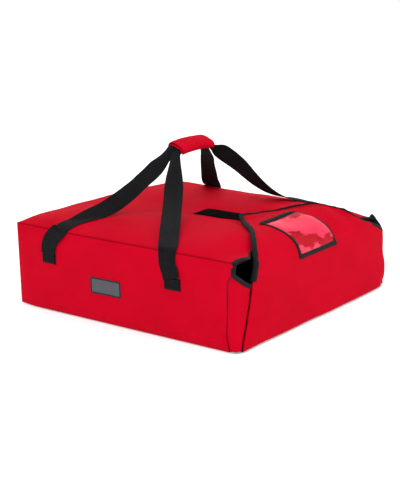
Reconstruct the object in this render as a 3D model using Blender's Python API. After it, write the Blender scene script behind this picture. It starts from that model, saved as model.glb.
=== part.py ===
"""An insulated bag for carrying flat boxes, in metres: front to -Y, up +Z, origin mid-base.

The bag is a soft box of panels. Each panel is a nylon cover, a foam pad and a liner. A long flap is
sewn to the front of the base. It stands up over the mouth, bends back over the top panel and holds
there by its hook strip. The flap is drawn flat first, as it is cut, and then bent over the bag. The
two carrying straps are drawn flat in the same way and laid over the arch from the sides to the grip.
"""

import math

import bmesh
import bpy
import numpy as np

# The soft box
BAG_WIDTH = 0.514
BAG_HEIGHT = 0.165
BACK_REACH = 0.270
FLAP_REACH = 0.278
MOUTH_SET_BACK = 0.030
TOP_CROWN = 0.0155
PILLOW_RISE = 0.013
PILLOW_FULLNESS_SHARE = 0.6
PILLOW_SPREAD_SHARE = 1.2
PILLOW_FRONT_REACH = 0.080
PILLOW_BACK_REACH = 0.120
PILLOW_LOSS_DEPTH = 0.040
LINER_CORNER_RADIUS = 0.002

# The layers of a panel and the clearance between pieces that touch
COVER = 0.0015
FOAM = 0.011
FLAP_FOAM = 0.009
LINER = 0.001
GAP = 0.0003

# The flap, whose outline is given as shares of its height or length and of the bag's half width
FLAP_SPLIT_DROP = 0.053
FLAP_BOTTOM_LIFT = 0.001
FLAP_BEND_RADIUS = 0.065
FLAP_TOP_SLOPE = math.radians(6.0)
FLAP_OVERLAP = 0.156
FLAP_BULGE = 0.004
FLAP_LOWER_SHARES = ((0.0, 0.973), (0.18, 0.945), (0.40, 0.880), (0.67, 0.833), (1.0, 0.803))
FLAP_UPPER_SHARES = ((0.0, 0.803), (0.11, 0.770), (0.24, 0.724), (0.34, 0.680), (1.0, 0.132))

# The gussets that close the mouth's corners
GUSSET_THICKNESS = 0.0015
GUSSET_TOP_DROP = 0.008
GUSSET_BOTTOM_LIFT = 0.002

# Bound edges
BINDING_LIP = 0.009
BINDING_THICKNESS = 0.0008
BINDING_WALL = 0.0012
BINDING_START = 0.008
MOUTH_BINDING_THICKNESS = 0.0015
GUSSET_BINDING_HEIGHT = 0.006

# Hook and loop tapes
TAPE = 0.001
LOOP_STRIP_WIDTH = 0.050
LOOP_STRIP_LENGTH = 0.190
LOOP_STRIP_SET_BACK = 0.088
HOOK_STRIP_WIDTH = 0.044
HOOK_STRIP_LENGTH = 0.055
HOOK_STRIP_INSET = 0.014

# The ticket pocket on the flap
TICKET_WIDTH = 0.113
TICKET_LENGTH = 0.123
TICKET_TIP_INSET = 0.072
TICKET_BORDER = 0.006
TICKET_BORDER_THICKNESS = 0.0015
TICKET_VINYL = 0.0008

# The label patch on the left side
LABEL_WIDTH = 0.076
LABEL_HEIGHT = 0.032
LABEL_THICKNESS = 0.001
LABEL_SHIFT = 0.0085
LABEL_Z = 0.072

# The carrying straps
WEB_WIDTH = 0.038
WEB_THICKNESS = 0.0018
TAB_HEIGHT = 0.023
TAB_DROP = 0.045
TAB_THICKNESS = 0.003
STRAP_FRONT_INSET = 0.1145
STRAP_REAR_INSET = 0.0895
HANDLE_RISE = 0.145
STRAP_STAND_OFF = 0.0018
STRAP_GAP = 0.0007
STRAP_ARCH_SHARES = ((0.985, 0.083), (0.940, 0.125), (0.860, 0.173), (0.770, 0.228), (0.660, 0.311),
                     (0.540, 0.436), (0.430, 0.609), (0.310, 0.865))
STRAP_STRAIGHT_SHARE = 0.5

# The grip that wraps the straps
GRIP_LENGTH = 0.108
GRIP_WIDTH = 0.046
GRIP_HEIGHT = 0.017
GRIP_ROUND = 0.005
GRIP_ARCH = 0.003
GRIP_TUNNEL_PLAY = 0.0006
GRIP_END_PLAY = 0.0015
GRIP_LEAF_INSET = 0.005
GRIP_TAPE_INSET = 0.012

# Sizes worked out from the ones above
HALF_WIDTH = BAG_WIDTH / 2
MOUTH_REACH = FLAP_REACH - MOUTH_SET_BACK
FLAP_SPLIT_HEIGHT = BAG_HEIGHT - FLAP_SPLIT_DROP
WALL = COVER + GAP + FOAM + GAP + LINER
FLAP_WALL = COVER + GAP + FLAP_FOAM + GAP + LINER
TAPE_ROOM = GAP + TAPE + GAP + TAPE + GAP
BACK_CORNER_RADIUS = WALL + GAP + LINER_CORNER_RADIUS
BEND_Y = FLAP_BEND_RADIUS - FLAP_REACH
BEND_Z = BAG_HEIGHT + TOP_CROWN + TAPE_ROOM + FLAP_WALL - FLAP_BEND_RADIUS
SEAT_RADIUS = FLAP_BEND_RADIUS - FLAP_WALL - TAPE_ROOM
FLAP_UPRIGHT = BEND_Z - FLAP_BOTTOM_LIFT
FLAP_TURN = math.pi / 2 + FLAP_TOP_SLOPE
FLAP_STRAIGHT_START = FLAP_UPRIGHT + FLAP_BEND_RADIUS * FLAP_TURN
FLAP_STRAIGHT_REACH = FLAP_OVERLAP - FLAP_BEND_RADIUS * (1 + math.sin(FLAP_TOP_SLOPE))
FLAP_LENGTH = FLAP_STRAIGHT_START + FLAP_STRAIGHT_REACH / math.cos(FLAP_TOP_SLOPE)
FLAP_SPLIT = FLAP_SPLIT_HEIGHT - FLAP_BOTTOM_LIFT
FLAP_TIP_Y = FLAP_OVERLAP - FLAP_REACH
TICKET_START = FLAP_LENGTH - TICKET_TIP_INSET - TICKET_LENGTH
BASE_REACH = FLAP_REACH - FLAP_WALL - GAP
TAB_TOP = BAG_HEIGHT - TAB_DROP
STRAP_FRONT_Y = STRAP_FRONT_INSET - MOUTH_REACH
STRAP_REAR_Y = BACK_REACH - STRAP_REAR_INSET
HANDLE_Y = (STRAP_FRONT_Y + STRAP_REAR_Y) / 2
GRIP_Z = BAG_HEIGHT + HANDLE_RISE

# How finely the pieces are divided
PANEL_COLUMNS = 17
CORNER_STEPS = 5
FLAP_COLUMNS = 9
FLAP_BEND_ROWS = 19
POCKET_STEPS = 15
GUSSET_COLUMNS = 8
ARCH_STEPS = 6
STRAP_COLUMNS = 5
STRAP_STEPS = 24
GRIP_STATIONS = 8
SMOOTH_ANGLE = math.radians(40.0)

# Where the joints' axes stand
FLAP_LOWER_HINGE = (0.0, -FLAP_REACH, FLAP_BOTTOM_LIFT)
FLAP_UPPER_HINGE = (0.0, -FLAP_REACH, FLAP_SPLIT_HEIGHT)
GRIP_CENTRE = (0.0, HANDLE_Y, GRIP_Z)
GRIP_LEAF_HINGE = (0.0, HANDLE_Y + GRIP_WIDTH / 2, GRIP_Z + GRIP_HEIGHT / 2 + TAPE_ROOM + COVER / 2)


def clear_scene():
    """Remove every object, so that the model starts from nothing."""
    for thing in list(bpy.data.objects):
        bpy.data.objects.remove(thing, do_unlink=True)


def make_material(name, colour, roughness, alpha=1.0):
    """A plain finish with the piece's own colour."""
    material = bpy.data.materials.new(name)
    material.use_nodes = True
    shader = material.node_tree.nodes["Principled BSDF"]
    shader.inputs["Base Color"].default_value = (*colour, 1.0)
    shader.inputs["Roughness"].default_value = roughness
    shader.inputs["Metallic"].default_value = 0.0
    shader.inputs["Alpha"].default_value = alpha
    return material


def make_joint(name, place, parent=None):
    """An empty on a joint's axis, which carries the pieces that move about it."""
    joint = bpy.data.objects.new(name, None)
    bpy.context.collection.objects.link(joint)
    joint.parent = parent
    joint.location = np.subtract(place, axis_place(parent))
    return joint


def axis_place(joint):
    """Where a joint's empty stands in the world, or the origin where there is none."""
    if joint is None:
        return np.zeros(3)
    return np.array(joint.location) + axis_place(joint.parent)


def add_solid(name, points, faces, material, joint=None):
    """Make one closed object from world points and faces, hung on its joint if it has one."""
    local_points = np.asarray(points, float).reshape(-1, 3) - axis_place(joint)
    mesh = bpy.data.meshes.new(name)
    mesh.from_pydata(local_points.tolist(), [], [list(map(int, face)) for face in faces])
    shape = bmesh.new()
    shape.from_mesh(mesh)
    bmesh.ops.recalc_face_normals(shape, faces=shape.faces)
    shape.to_mesh(mesh)
    shape.free()
    mesh.shade_smooth()
    mesh.set_sharp_from_angle(angle=SMOOTH_ANGLE)
    mesh.materials.append(material)
    solid = bpy.data.objects.new(name, mesh)
    bpy.context.collection.objects.link(solid)
    solid.parent = joint
    return solid


def layer_solid(name, outer, inner, material, joint=None):
    """A closed layer between two matching grids of points, walled round the edge.

    Both grids are split along the same diagonals, so that layers that lie on each other stay clear.
    """
    rows, columns = outer.shape[:2]
    count = rows * columns
    index = np.arange(count).reshape(rows, columns)
    cells = (index[:-1, :-1], index[:-1, 1:], index[1:, 1:], index[1:, :-1])
    a, b, c, d = (corner.ravel() for corner in cells)
    top = np.concatenate([np.stack([a, b, c], axis=-1), np.stack([a, c, d], axis=-1)])
    rim = np.concatenate([index[0, :-1], index[:-1, -1], index[-1, :0:-1], index[:0:-1, 0]])
    following = np.roll(rim, -1)
    walls = np.stack([rim, rim + count, following + count, following], axis=-1)
    faces = [*top, *(top[:, ::-1] + count), *walls]
    points = np.concatenate([outer.reshape(-1, 3), inner.reshape(-1, 3)])
    return add_solid(name, points, faces, material, joint)


def swept_solid(name, rings, material, joint=None, closed=False):
    """A closed solid carried through a row of rings of points, capped at its ends or joined to itself."""
    stations, corners = rings.shape[:2]
    index = np.arange(stations * corners).reshape(stations, corners)
    ahead = np.roll(index, -1, axis=0) if closed else index[1:]
    here = index if closed else index[:-1]
    quads = np.stack([here, np.roll(here, -1, axis=1), np.roll(ahead, -1, axis=1), ahead], axis=-1)
    faces = quads.reshape(-1, 4).tolist()
    if not closed:
        faces += [index[0, ::-1].tolist(), index[-1].tolist()]
    return add_solid(name, rings, faces, material, joint)


def tube_solid(name, outer, inner, material, joint=None):
    """An open-ended tube between an outer and an inner row of rings."""
    rings = np.concatenate([outer, inner[::-1]])
    return swept_solid(name, rings, material, joint, closed=True)


def block(name, low, high, material, joint=None):
    """A flat slab between two opposite corners."""
    x, y = np.meshgrid((low[0], high[0]), (low[1], high[1]))
    top = np.dstack([x, y, np.full_like(x, high[2])])
    under = np.dstack([x, y, np.full_like(x, low[2])])
    return layer_solid(name, top, under, material, joint)


# The panels of the soft box


def top_line(y):
    """Height of the top panel along its middle: it follows the flap's seat, then falls to the back seam."""
    bend_end = BEND_Y + SEAT_RADIUS * math.sin(FLAP_TOP_SLOPE)
    bend_end_z = BEND_Z + SEAT_RADIUS * math.cos(FLAP_TOP_SLOPE)
    on_bend = BEND_Z + np.sqrt(np.maximum(SEAT_RADIUS ** 2 - (np.minimum(y, bend_end) - BEND_Y) ** 2, 0.0))
    on_slope = bend_end_z - (np.clip(y, bend_end, FLAP_TIP_Y) - bend_end) * math.tan(FLAP_TOP_SLOPE)
    seat = np.where(y < bend_end, on_bend, on_slope)
    past_tip = np.clip((y - FLAP_TIP_Y) / (BACK_REACH - FLAP_TIP_Y), 0.0, 1.0)
    return BAG_HEIGHT + (seat - BAG_HEIGHT) * np.cos(math.pi / 2 * past_tip)


def ease(share):
    """A smooth step from 0 to 1 as share goes from 0 to 1."""
    share = np.clip(share, 0.0, 1.0)
    return share ** 2 * (3 - 2 * share)


def pillow_height(across, y):
    """Height of the pillow beside the closure: none at the seams, by the strip or under the flap."""
    inner = np.clip((across - LOOP_STRIP_WIDTH) / (HALF_WIDTH - LOOP_STRIP_WIDTH), 0.0, 1.0)
    spread = FLAP_UPPER_SHARES[-1][1] * HALF_WIDTH + PILLOW_SPREAD_SHARE * np.maximum(FLAP_TIP_Y - y, 0.0)
    beside = np.hypot(np.maximum(across - spread, 0.0), np.maximum(y - FLAP_TIP_Y, 0.0))
    fade = ease(beside / PILLOW_FRONT_REACH) * ease((BACK_REACH - y) / PILLOW_BACK_REACH)
    return PILLOW_RISE * fade * np.abs(np.sin(math.pi * inner)) ** PILLOW_FULLNESS_SHARE


def top_height(x, y, half, depth):
    """Height of a top layer that is half wide and lies depth under the outer face.

    It is crowned, but flat at its side seams. A deeper layer's pillow starts further out and rises
    less, so that the layers stay clear of each other.
    """
    share = np.abs(x) / half
    crown = (top_line(y) - BAG_HEIGHT) * (1 - share ** 4)
    pillow = pillow_height(np.abs(x) - depth, y) * (1 - share ** 12) * (1 - depth / PILLOW_LOSS_DEPTH)
    return BAG_HEIGHT + crown + pillow - depth


def plan_half_width(y, inset, front_radius):
    """Half width of a top or base layer at y, with its back corners and any front corners rounded."""
    side = HALF_WIDTH - inset
    back_radius = BACK_CORNER_RADIUS - inset
    into_back = np.clip(y - (BACK_REACH - BACK_CORNER_RADIUS), 0.0, back_radius)
    half = side - back_radius + np.sqrt(np.maximum(back_radius ** 2 - into_back ** 2, 0.0))
    if front_radius:
        into_front = np.clip(-MOUTH_REACH - y, 0.0, front_radius)
        half = half - front_radius + np.sqrt(np.maximum(front_radius ** 2 - into_front ** 2, 0.0))
    return half


def panel_rows(front, inset):
    """Places along Y for a panel's rows: close together where it bends and in its rounded corners."""
    corner = np.sin(np.linspace(0.0, math.pi / 2, CORNER_STEPS))
    back_start = BACK_REACH - BACK_CORNER_RADIUS
    back = back_start + (BACK_CORNER_RADIUS - inset) * corner
    if front < -MOUTH_REACH:
        nose = -MOUTH_REACH + (front + MOUTH_REACH) * corner[::-1]
        return np.concatenate([nose, back])
    bend_end = BEND_Y + SEAT_RADIUS * math.sin(FLAP_TOP_SLOPE)
    bend = np.linspace(front, bend_end, 9)
    seat = np.linspace(bend_end, FLAP_TIP_Y, 4)[1:]
    rear = np.linspace(FLAP_TIP_Y, back_start, 7)[1:]
    return np.concatenate([bend, seat, rear, back[1:]])


def top_layer(name, inset, depth, thickness, material):
    """One layer of the top panel, depth under its outer face."""
    y = panel_rows(-MOUTH_REACH, inset)[:, None]
    across = np.sin(np.linspace(-math.pi / 2, math.pi / 2, PANEL_COLUMNS))[None, :]
    half = plan_half_width(y, inset, 0.0)
    x = across * half
    y = np.broadcast_to(y, x.shape)
    height = top_height(x, y, half, depth)
    return layer_solid(name, np.dstack([x, y, height]), np.dstack([x, y, height - thickness]), material)


def base_layer(name, inset, bottom, thickness, material):
    """One layer of the base, from its underside up. The base runs on to the flap's inner face."""
    front_radius = BASE_REACH - MOUTH_REACH
    y = panel_rows(-BASE_REACH, inset)[:, None]
    x = np.array([[-1.0, 1.0]]) * plan_half_width(y, inset, front_radius)
    y = np.broadcast_to(y, x.shape)
    under = np.dstack([x, y, np.full_like(x, bottom)])
    return layer_solid(name, under + np.array([0.0, 0.0, thickness]), under, material)


def side_layer(name, side, inset, low, high, thickness, material):
    """One layer of a side panel, inset from its outer face; side is -1 on the left and 1 on the right."""
    outer = side * (HALF_WIDTH - inset)
    inner = side * (HALF_WIDTH - inset - thickness)
    back = BACK_REACH - BACK_CORNER_RADIUS - GAP
    low_corner = (min(outer, inner), -MOUTH_REACH, low)
    high_corner = (max(outer, inner), back, high)
    return block(name, low_corner, high_corner, material)


def back_layer(name, inset, low, high, thickness, material):
    """One layer of the back panel, which turns both back corners to meet the side panels."""
    turn = np.linspace(0.0, math.pi / 2, CORNER_STEPS)
    corner_x = HALF_WIDTH - BACK_CORNER_RADIUS
    corner_y = BACK_REACH - BACK_CORNER_RADIUS

    def plan(depth):
        radius = BACK_CORNER_RADIUS - depth
        right = np.stack([corner_x + radius * np.cos(turn), corner_y + radius * np.sin(turn)], axis=-1)
        left = right[::-1] * (-1, 1)
        return np.concatenate([right, left])

    def wall(depth):
        line = plan(depth)
        return np.stack([np.column_stack([line, np.full(len(line), z)]) for z in (low, high)])

    return layer_solid(name, wall(inset), wall(inset + thickness), material)


def make_panels(finish):
    """The top, base, back and side panels: cover, foam and liner of each, nested with a clearance.

    The base's liner lies between the walls' liners, which reach down past it.
    """
    foam_inset = COVER + GAP
    liner_inset = foam_inset + FOAM + GAP
    layers = (("cover", 0.0, COVER, finish["red"]), ("foam", foam_inset, FOAM, finish["foam"]),
              ("liner", liner_inset, LINER, finish["liner"]))
    for layer, inset, thickness, material in layers:
        high = BAG_HEIGHT - inset - thickness - GAP
        low = inset if layer == "liner" else BAG_HEIGHT - high
        floor_inset = WALL + GAP if layer == "liner" else inset
        top_layer(f"top_{layer}", inset, inset, thickness, material)
        base_layer(f"base_{layer}", floor_inset, inset, thickness, material)
        back_layer(f"back_{layer}", inset, low, high, thickness, material)
        side_layer(f"left_{layer}", -1, inset, low, high, thickness, material)
        side_layer(f"right_{layer}", 1, inset, low, high, thickness, material)


def make_mouth_binding(finish):
    """The tape that binds the front edge of the top panel, kept under the flap's bend."""
    front = MOUTH_REACH + GAP + MOUTH_BINDING_THICKNESS
    under_flap = BEND_Z + math.sqrt(SEAT_RADIUS ** 2 - (front + BEND_Y) ** 2)
    high = min(BAG_HEIGHT, under_flap) - GAP
    low = BAG_HEIGHT - WALL
    half = HALF_WIDTH - WALL / 2
    block("mouth_binding", (-half, -front, low), (half, -MOUTH_REACH - GAP, high), finish["binding"])


# The flap, drawn flat and then bent


def bend_flap(x, along, depth):
    """Carry a point of the flat flap to its place: x across, along from the bottom edge, depth inward."""
    x, along, depth = np.broadcast_arrays(np.asarray(x, float), along, depth)
    angle = np.clip((along - FLAP_UPRIGHT) / FLAP_BEND_RADIUS, 0.0, FLAP_TURN)
    before = np.minimum(along - FLAP_UPRIGHT, 0.0)
    after = np.maximum(along - FLAP_STRAIGHT_START, 0.0)
    radius = FLAP_BEND_RADIUS - depth
    y = BEND_Y - radius * np.cos(angle) + after * math.cos(FLAP_TOP_SLOPE)
    z = BEND_Z + radius * np.sin(angle) + before - after * math.sin(FLAP_TOP_SLOPE)
    return np.stack([x, y, z], axis=-1)


def flap_half_width(along):
    """Half width of the flat flap: it narrows up the mouth and then in straight slopes to its tip."""
    lower = np.array(FLAP_LOWER_SHARES)
    upper = np.array(FLAP_UPPER_SHARES)
    low_half = np.interp(along / FLAP_SPLIT, lower[:, 0], lower[:, 1])
    high_half = np.interp((along - FLAP_SPLIT) / (FLAP_LENGTH - FLAP_SPLIT), upper[:, 0], upper[:, 1])
    return HALF_WIDTH * np.where(along < FLAP_SPLIT, low_half, high_half)


def lower_rows():
    """Places along the lower flap: its outline's corners and the middles between them."""
    outline = np.array(FLAP_LOWER_SHARES)[:, 0] * FLAP_SPLIT
    return np.sort(np.concatenate([outline, (outline[:-1] + outline[1:]) / 2]))


def upper_rows(start):
    """Places along the upper flap: its outline's corners, and close steps round the bend."""
    outline = FLAP_SPLIT + np.array(FLAP_UPPER_SHARES)[:, 0] * (FLAP_LENGTH - FLAP_SPLIT)
    bend = np.linspace(FLAP_UPRIGHT, FLAP_STRAIGHT_START, FLAP_BEND_ROWS)
    rows = np.sort(np.concatenate([outline, bend]))
    rows = np.append(start, rows[rows > start + GAP])
    apart = np.append(True, np.diff(rows) > GAP)
    return rows[apart]


def bulge(x, along):
    """How far the lower flap swells forward between its seams."""
    across = np.clip(np.abs(x) / flap_half_width(along), 0.0, 1.0)
    return FLAP_BULGE * np.sin(math.pi * np.clip(along / FLAP_SPLIT, 0.0, 1.0)) * (1 - across ** 4)


def flap_layer(name, along, depth, thickness, material, joint, swell=False):
    """One layer of the flap between two depths under its outer face."""
    rows = along[:, None]
    across = np.sin(np.linspace(-math.pi / 2, math.pi / 2, FLAP_COLUMNS))[None, :]
    x = across * flap_half_width(rows)
    rows = np.broadcast_to(rows, x.shape)
    forward = bulge(x, rows) if swell else np.zeros_like(x)
    outer = bend_flap(x, rows, depth - forward)
    inner = bend_flap(x, rows, depth + thickness - forward)
    return layer_solid(name, outer, inner, material, joint)


def make_flap(finish, lower_joint, upper_joint):
    """The lower flap, which closes the mouth, and the upper flap, which bends over the top."""
    layers = (("cover", 0.0, COVER, finish["red"]), ("foam", COVER + GAP, FLAP_FOAM, finish["foam"]),
              ("liner", COVER + GAP + FLAP_FOAM + GAP, LINER, finish["liner"]))
    lower = np.minimum(lower_rows(), FLAP_SPLIT - GAP / 2)
    upper = upper_rows(FLAP_SPLIT + GAP / 2)
    for layer, depth, thickness, material in layers:
        flap_layer(f"flap_lower_{layer}", lower, depth, thickness, material, lower_joint, swell=True)
        flap_layer(f"flap_upper_{layer}", upper, depth, thickness, material, upper_joint)


def mitred(outline, closed):
    """For each point of a flat outline, the step that moves it one unit outward with square corners."""
    if closed:
        before = outline - np.roll(outline, 1, axis=0)
        after = np.roll(outline, -1, axis=0) - outline
    else:
        leg = np.diff(outline, axis=0)
        before = np.vstack([leg[:1], leg])
        after = np.vstack([leg, leg[-1:]])
    normals = [np.stack([-leg[:, 1], leg[:, 0]], axis=-1) / np.linalg.norm(leg, axis=1)[:, None]
               for leg in (before, after)]
    middle = normals[0] + normals[1]
    return middle * (2 / (middle * middle).sum(axis=1))[:, None]


def carry_section(outline, section, closed):
    """Rings of a section of (outward, depth) pairs carried round a flat outline and bent with the flap."""
    steps = mitred(outline, closed)
    rings = []
    for outward, depth in section:
        moved = outline + steps * outward
        rings.append(bend_flap(moved[:, 0], moved[:, 1], depth))
    return np.stack(rings, axis=1)


def make_flap_binding(finish, joint):
    """The tape folded round the free edge of the upper flap: up one side, across the tip and down."""
    rows = upper_rows(FLAP_SPLIT + BINDING_START)
    half = flap_half_width(rows)
    left = np.stack([-half, rows], axis=-1)
    right = np.stack([half, rows], axis=-1)[::-1]
    outline = np.concatenate([left, right])
    proud = GAP + BINDING_THICKNESS
    edge = GAP + BINDING_WALL
    lip = -BINDING_LIP
    outside = ((lip, -proud), (lip / 2, -proud), (edge, -proud), (edge, FLAP_WALL + proud),
               (lip / 2, FLAP_WALL + proud), (lip, FLAP_WALL + proud))
    inside = ((lip, FLAP_WALL + GAP), (lip / 2, FLAP_WALL + GAP), (GAP, FLAP_WALL + GAP),
              (GAP, -GAP), (lip / 2, -GAP), (lip, -GAP))
    section = outside + inside
    rings = carry_section(outline, section, closed=False)
    swept_solid("flap_binding", rings, finish["binding"], joint)


def rectangle(half, start, end):
    """A flat rectangle's outline, anticlockwise, with close steps along the flap's length."""
    steps = np.linspace(start, end, POCKET_STEPS)
    up = np.stack([np.full_like(steps, half), steps], axis=-1)
    down = np.stack([np.full_like(steps, -half), steps[::-1]], axis=-1)
    return np.concatenate([up, down])


def make_ticket_pocket(finish, joint):
    """The clear window for an order slip and the border that holds it to the flap."""
    end = TICKET_START + TICKET_LENGTH
    outline = rectangle(TICKET_WIDTH / 2, TICKET_START, end)
    low = -GAP
    high = -GAP - TICKET_BORDER_THICKNESS
    section = ((0.0, low), (0.0, high), (TICKET_BORDER, high), (TICKET_BORDER, low))
    rings = carry_section(outline, section, closed=True)
    swept_solid("ticket_binding", rings, finish["binding"], joint, closed=True)
    inset = TICKET_BORDER + GAP
    along = np.linspace(TICKET_START + inset, end - inset, POCKET_STEPS)[:, None]
    x = np.array([[-1.0, 1.0]]) * (TICKET_WIDTH / 2 - inset)
    outer = bend_flap(x, along, -GAP - TICKET_VINYL)
    inner = bend_flap(x, along, -GAP)
    layer_solid("ticket_window", outer, inner, finish["vinyl"], joint)


def make_closure(finish, upper_joint):
    """The loop strip on the top panel and the hook strip under the flap's tip, which grips it."""
    front = LOOP_STRIP_SET_BACK - FLAP_REACH
    rear = front + LOOP_STRIP_LENGTH
    y = panel_rows(-MOUTH_REACH, 0.0)
    y = y[(y > front + GAP) & (y < rear - GAP)]
    y = np.array([front, *y, rear])[:, None]
    x = np.array([[-1.0, 0.0, 1.0]]) * LOOP_STRIP_WIDTH / 2
    x = np.broadcast_to(x, (len(y), 3))
    y = np.broadcast_to(y, x.shape)
    under = np.dstack([x, y, top_line(y) + GAP])
    layer_solid("closure_loop_strip", under + np.array([0.0, 0.0, TAPE]), under, finish["loop"])
    end = FLAP_LENGTH - HOOK_STRIP_INSET
    along = np.linspace(end - HOOK_STRIP_LENGTH, end, 3)[:, None]
    x = np.array([[-1.0, 1.0]]) * HOOK_STRIP_WIDTH / 2
    outer = bend_flap(x, along, FLAP_WALL + GAP)
    inner = bend_flap(x, along, FLAP_WALL + GAP + TAPE)
    layer_solid("closure_hook_strip", outer, inner, finish["hook"], upper_joint)


# The gussets


def gusset_surface(side, share, lift):
    """Points of a gusset, round the mouth's corner from the side panel to the flap's side edge.

    share is each row's share of the gusset's height, and lift is how far the row stands above that.
    """
    turn = np.linspace(0.0, math.pi / 2, GUSSET_COLUMNS)[None, :]
    top = BAG_HEIGHT - GUSSET_TOP_DROP
    top = top + (FLAP_SPLIT_HEIGHT - GAP - top) * turn / (math.pi / 2)
    z = GUSSET_BOTTOM_LIFT + (top - GUSSET_BOTTOM_LIFT) * share[:, None] + lift[:, None]
    start_x = HALF_WIDTH - GUSSET_THICKNESS / 2
    start_y = -MOUTH_REACH - GAP
    end_y = -FLAP_REACH + FLAP_WALL / 2
    end_x = flap_half_width(np.clip(z - FLAP_BOTTOM_LIFT, 0.0, FLAP_SPLIT)) + GAP
    x = start_x + (end_x - start_x) * (1 - np.cos(turn))
    y = np.broadcast_to(start_y + (end_y - start_y) * np.sin(turn), x.shape)
    return np.dstack([side * x, y, z])


def thicken(surface, thickness):
    """The two faces of a sheet that lie half a thickness to each side of a grid of points."""
    across = np.gradient(surface, axis=1)
    along = np.gradient(surface, axis=0)
    normal = np.cross(across, along)
    normal /= np.linalg.norm(normal, axis=2)[:, :, None]
    return surface + normal * thickness / 2, surface - normal * thickness / 2


def make_gussets(finish):
    """The left and right gussets and the tape along their sloping top edges."""
    heights = FLAP_BOTTOM_LIFT + lower_rows() - GUSSET_BOTTOM_LIFT
    share = np.unique(np.clip(heights / (FLAP_SPLIT_HEIGHT - GAP - GUSSET_BOTTOM_LIFT), 0.0, 1.0))
    edge = np.ones(2)
    edge_lift = np.array([GAP, GAP + GUSSET_BINDING_HEIGHT])
    for name, side in (("left", -1), ("right", 1)):
        sheet = gusset_surface(side, share, np.zeros_like(share))
        layer_solid(f"gusset_{name}", *thicken(sheet, GUSSET_THICKNESS), finish["red"])
        tape = gusset_surface(side, edge, edge_lift)
        layer_solid(f"gusset_binding_{name}", *thicken(tape, GUSSET_THICKNESS), finish["binding"])


# The label, the straps and the grip


def make_label(finish):
    """The bare patch sewn on the left side."""
    outer = -HALF_WIDTH - GAP - LABEL_THICKNESS
    middle = HANDLE_Y + LABEL_SHIFT
    low = (outer, middle - LABEL_WIDTH / 2, LABEL_Z - LABEL_HEIGHT / 2)
    high = (-HALF_WIDTH - GAP, middle + LABEL_WIDTH / 2, LABEL_Z + LABEL_HEIGHT / 2)
    block("label_patch", low, high, finish["label"])


def smooth_line(points, steps):
    """A smooth curve through points, with a number of steps to each span (a Catmull-Rom curve)."""
    points = np.asarray(points, float)
    ends = np.vstack([2 * points[0] - points[1], points, 2 * points[-1] - points[-2]])
    share = np.linspace(0.0, 1.0, steps, endpoint=False)[:, None]
    spans = []
    for a, b, c, d in zip(ends[:-3], ends[1:-2], ends[2:-1], ends[3:]):
        cubic = (3 * b - a - 3 * c + d) * share ** 3
        square = (2 * a - 5 * b + 4 * c - d) * share ** 2
        spans.append((2 * b + (c - a) * share + square + cubic) / 2)
    return np.vstack([*spans, points[-1:]])


def strap_arch():
    """The arch that the straps lie on, as (x, z) from the right tab's top to the grip's end."""
    outside = HALF_WIDTH + STRAP_STAND_OFF
    start = TAB_TOP + GAP
    rise = GRIP_Z - GRIP_ARCH - BAG_HEIGHT
    side = [(outside, start), (outside, (start + BAG_HEIGHT) / 2), (outside, BAG_HEIGHT)]
    over = [(across * HALF_WIDTH, BAG_HEIGHT + up * rise) for across, up in STRAP_ARCH_SHARES]
    end = (GRIP_LENGTH / 2 + GRIP_END_PLAY, GRIP_Z - GRIP_ARCH)
    return smooth_line([*side, *over, end], ARCH_STEPS)


def lay_on_arch(arch, along, lift):
    """Points at given lengths along the arch, lifted off it by lift, as (x, z)."""
    step = np.linalg.norm(np.diff(arch, axis=0), axis=1)
    length = np.concatenate([[0.0], np.cumsum(step)])
    tangent = np.gradient(arch, length, axis=0)
    tangent /= np.linalg.norm(tangent, axis=1)[:, None]
    normal = np.stack([tangent[:, 1], -tangent[:, 0]], axis=-1)
    lifted = arch + normal * lift
    return np.stack([np.interp(along, length, lifted[:, i]) for i in range(2)], axis=-1), length[-1]


def strap_stretch(name, side, end_y, level, finish):
    """One free stretch of strap from its tab on the side panel to the grip's end."""
    arch = strap_arch()
    total = lay_on_arch(arch, 0.0, 0.0)[1]
    edge = BAG_HEIGHT - TAB_TOP
    upright = np.linspace(0.0, edge, CORNER_STEPS)
    along = np.append(upright, np.linspace(edge, total, STRAP_STEPS)[1:])
    share = np.clip((along - edge) / (total - edge), 0.0, 1.0)
    eased = STRAP_STRAIGHT_SHARE * share + (1 - STRAP_STRAIGHT_SHARE) * share ** 2 * (3 - 2 * share)
    y = end_y + (HANDLE_Y - end_y) * eased
    slope = np.arctan(np.gradient(y, along))
    slope[[0, -1]] = 0.0
    faces = []
    for lift in (level + WEB_THICKNESS / 2, level - WEB_THICKNESS / 2):
        threads = []
        for offset in np.linspace(-WEB_WIDTH / 2, WEB_WIDTH / 2, STRAP_COLUMNS):
            where = np.clip(along - offset * np.sin(slope), 0.0, total)
            place = lay_on_arch(arch, where, lift)[0]
            threads.append(np.stack([side * place[:, 0], y + offset * np.cos(slope), place[:, 1]], axis=-1))
        faces.append(np.stack(threads, axis=1))
    layer_solid(name, faces[0], faces[1], finish["webbing"])


def make_straps(finish):
    """The sewn tabs on the side panels and the four free stretches of strap."""
    straps = (("front", STRAP_FRONT_Y, 0.0), ("rear", STRAP_REAR_Y, WEB_THICKNESS + STRAP_GAP))
    for place, end_y, level in straps:
        for name, side in (("left", -1), ("right", 1)):
            inner = side * (HALF_WIDTH + GAP)
            outer = side * (HALF_WIDTH + GAP + TAB_THICKNESS)
            low = (min(inner, outer), end_y - WEB_WIDTH / 2, TAB_TOP - TAB_HEIGHT)
            high = (max(inner, outer), end_y + WEB_WIDTH / 2, TAB_TOP)
            block(f"strap_tab_{place}_{name}", low, high, finish["webbing"])
            strap_stretch(f"strap_{place}_{name}", side, end_y, level, finish)


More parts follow.
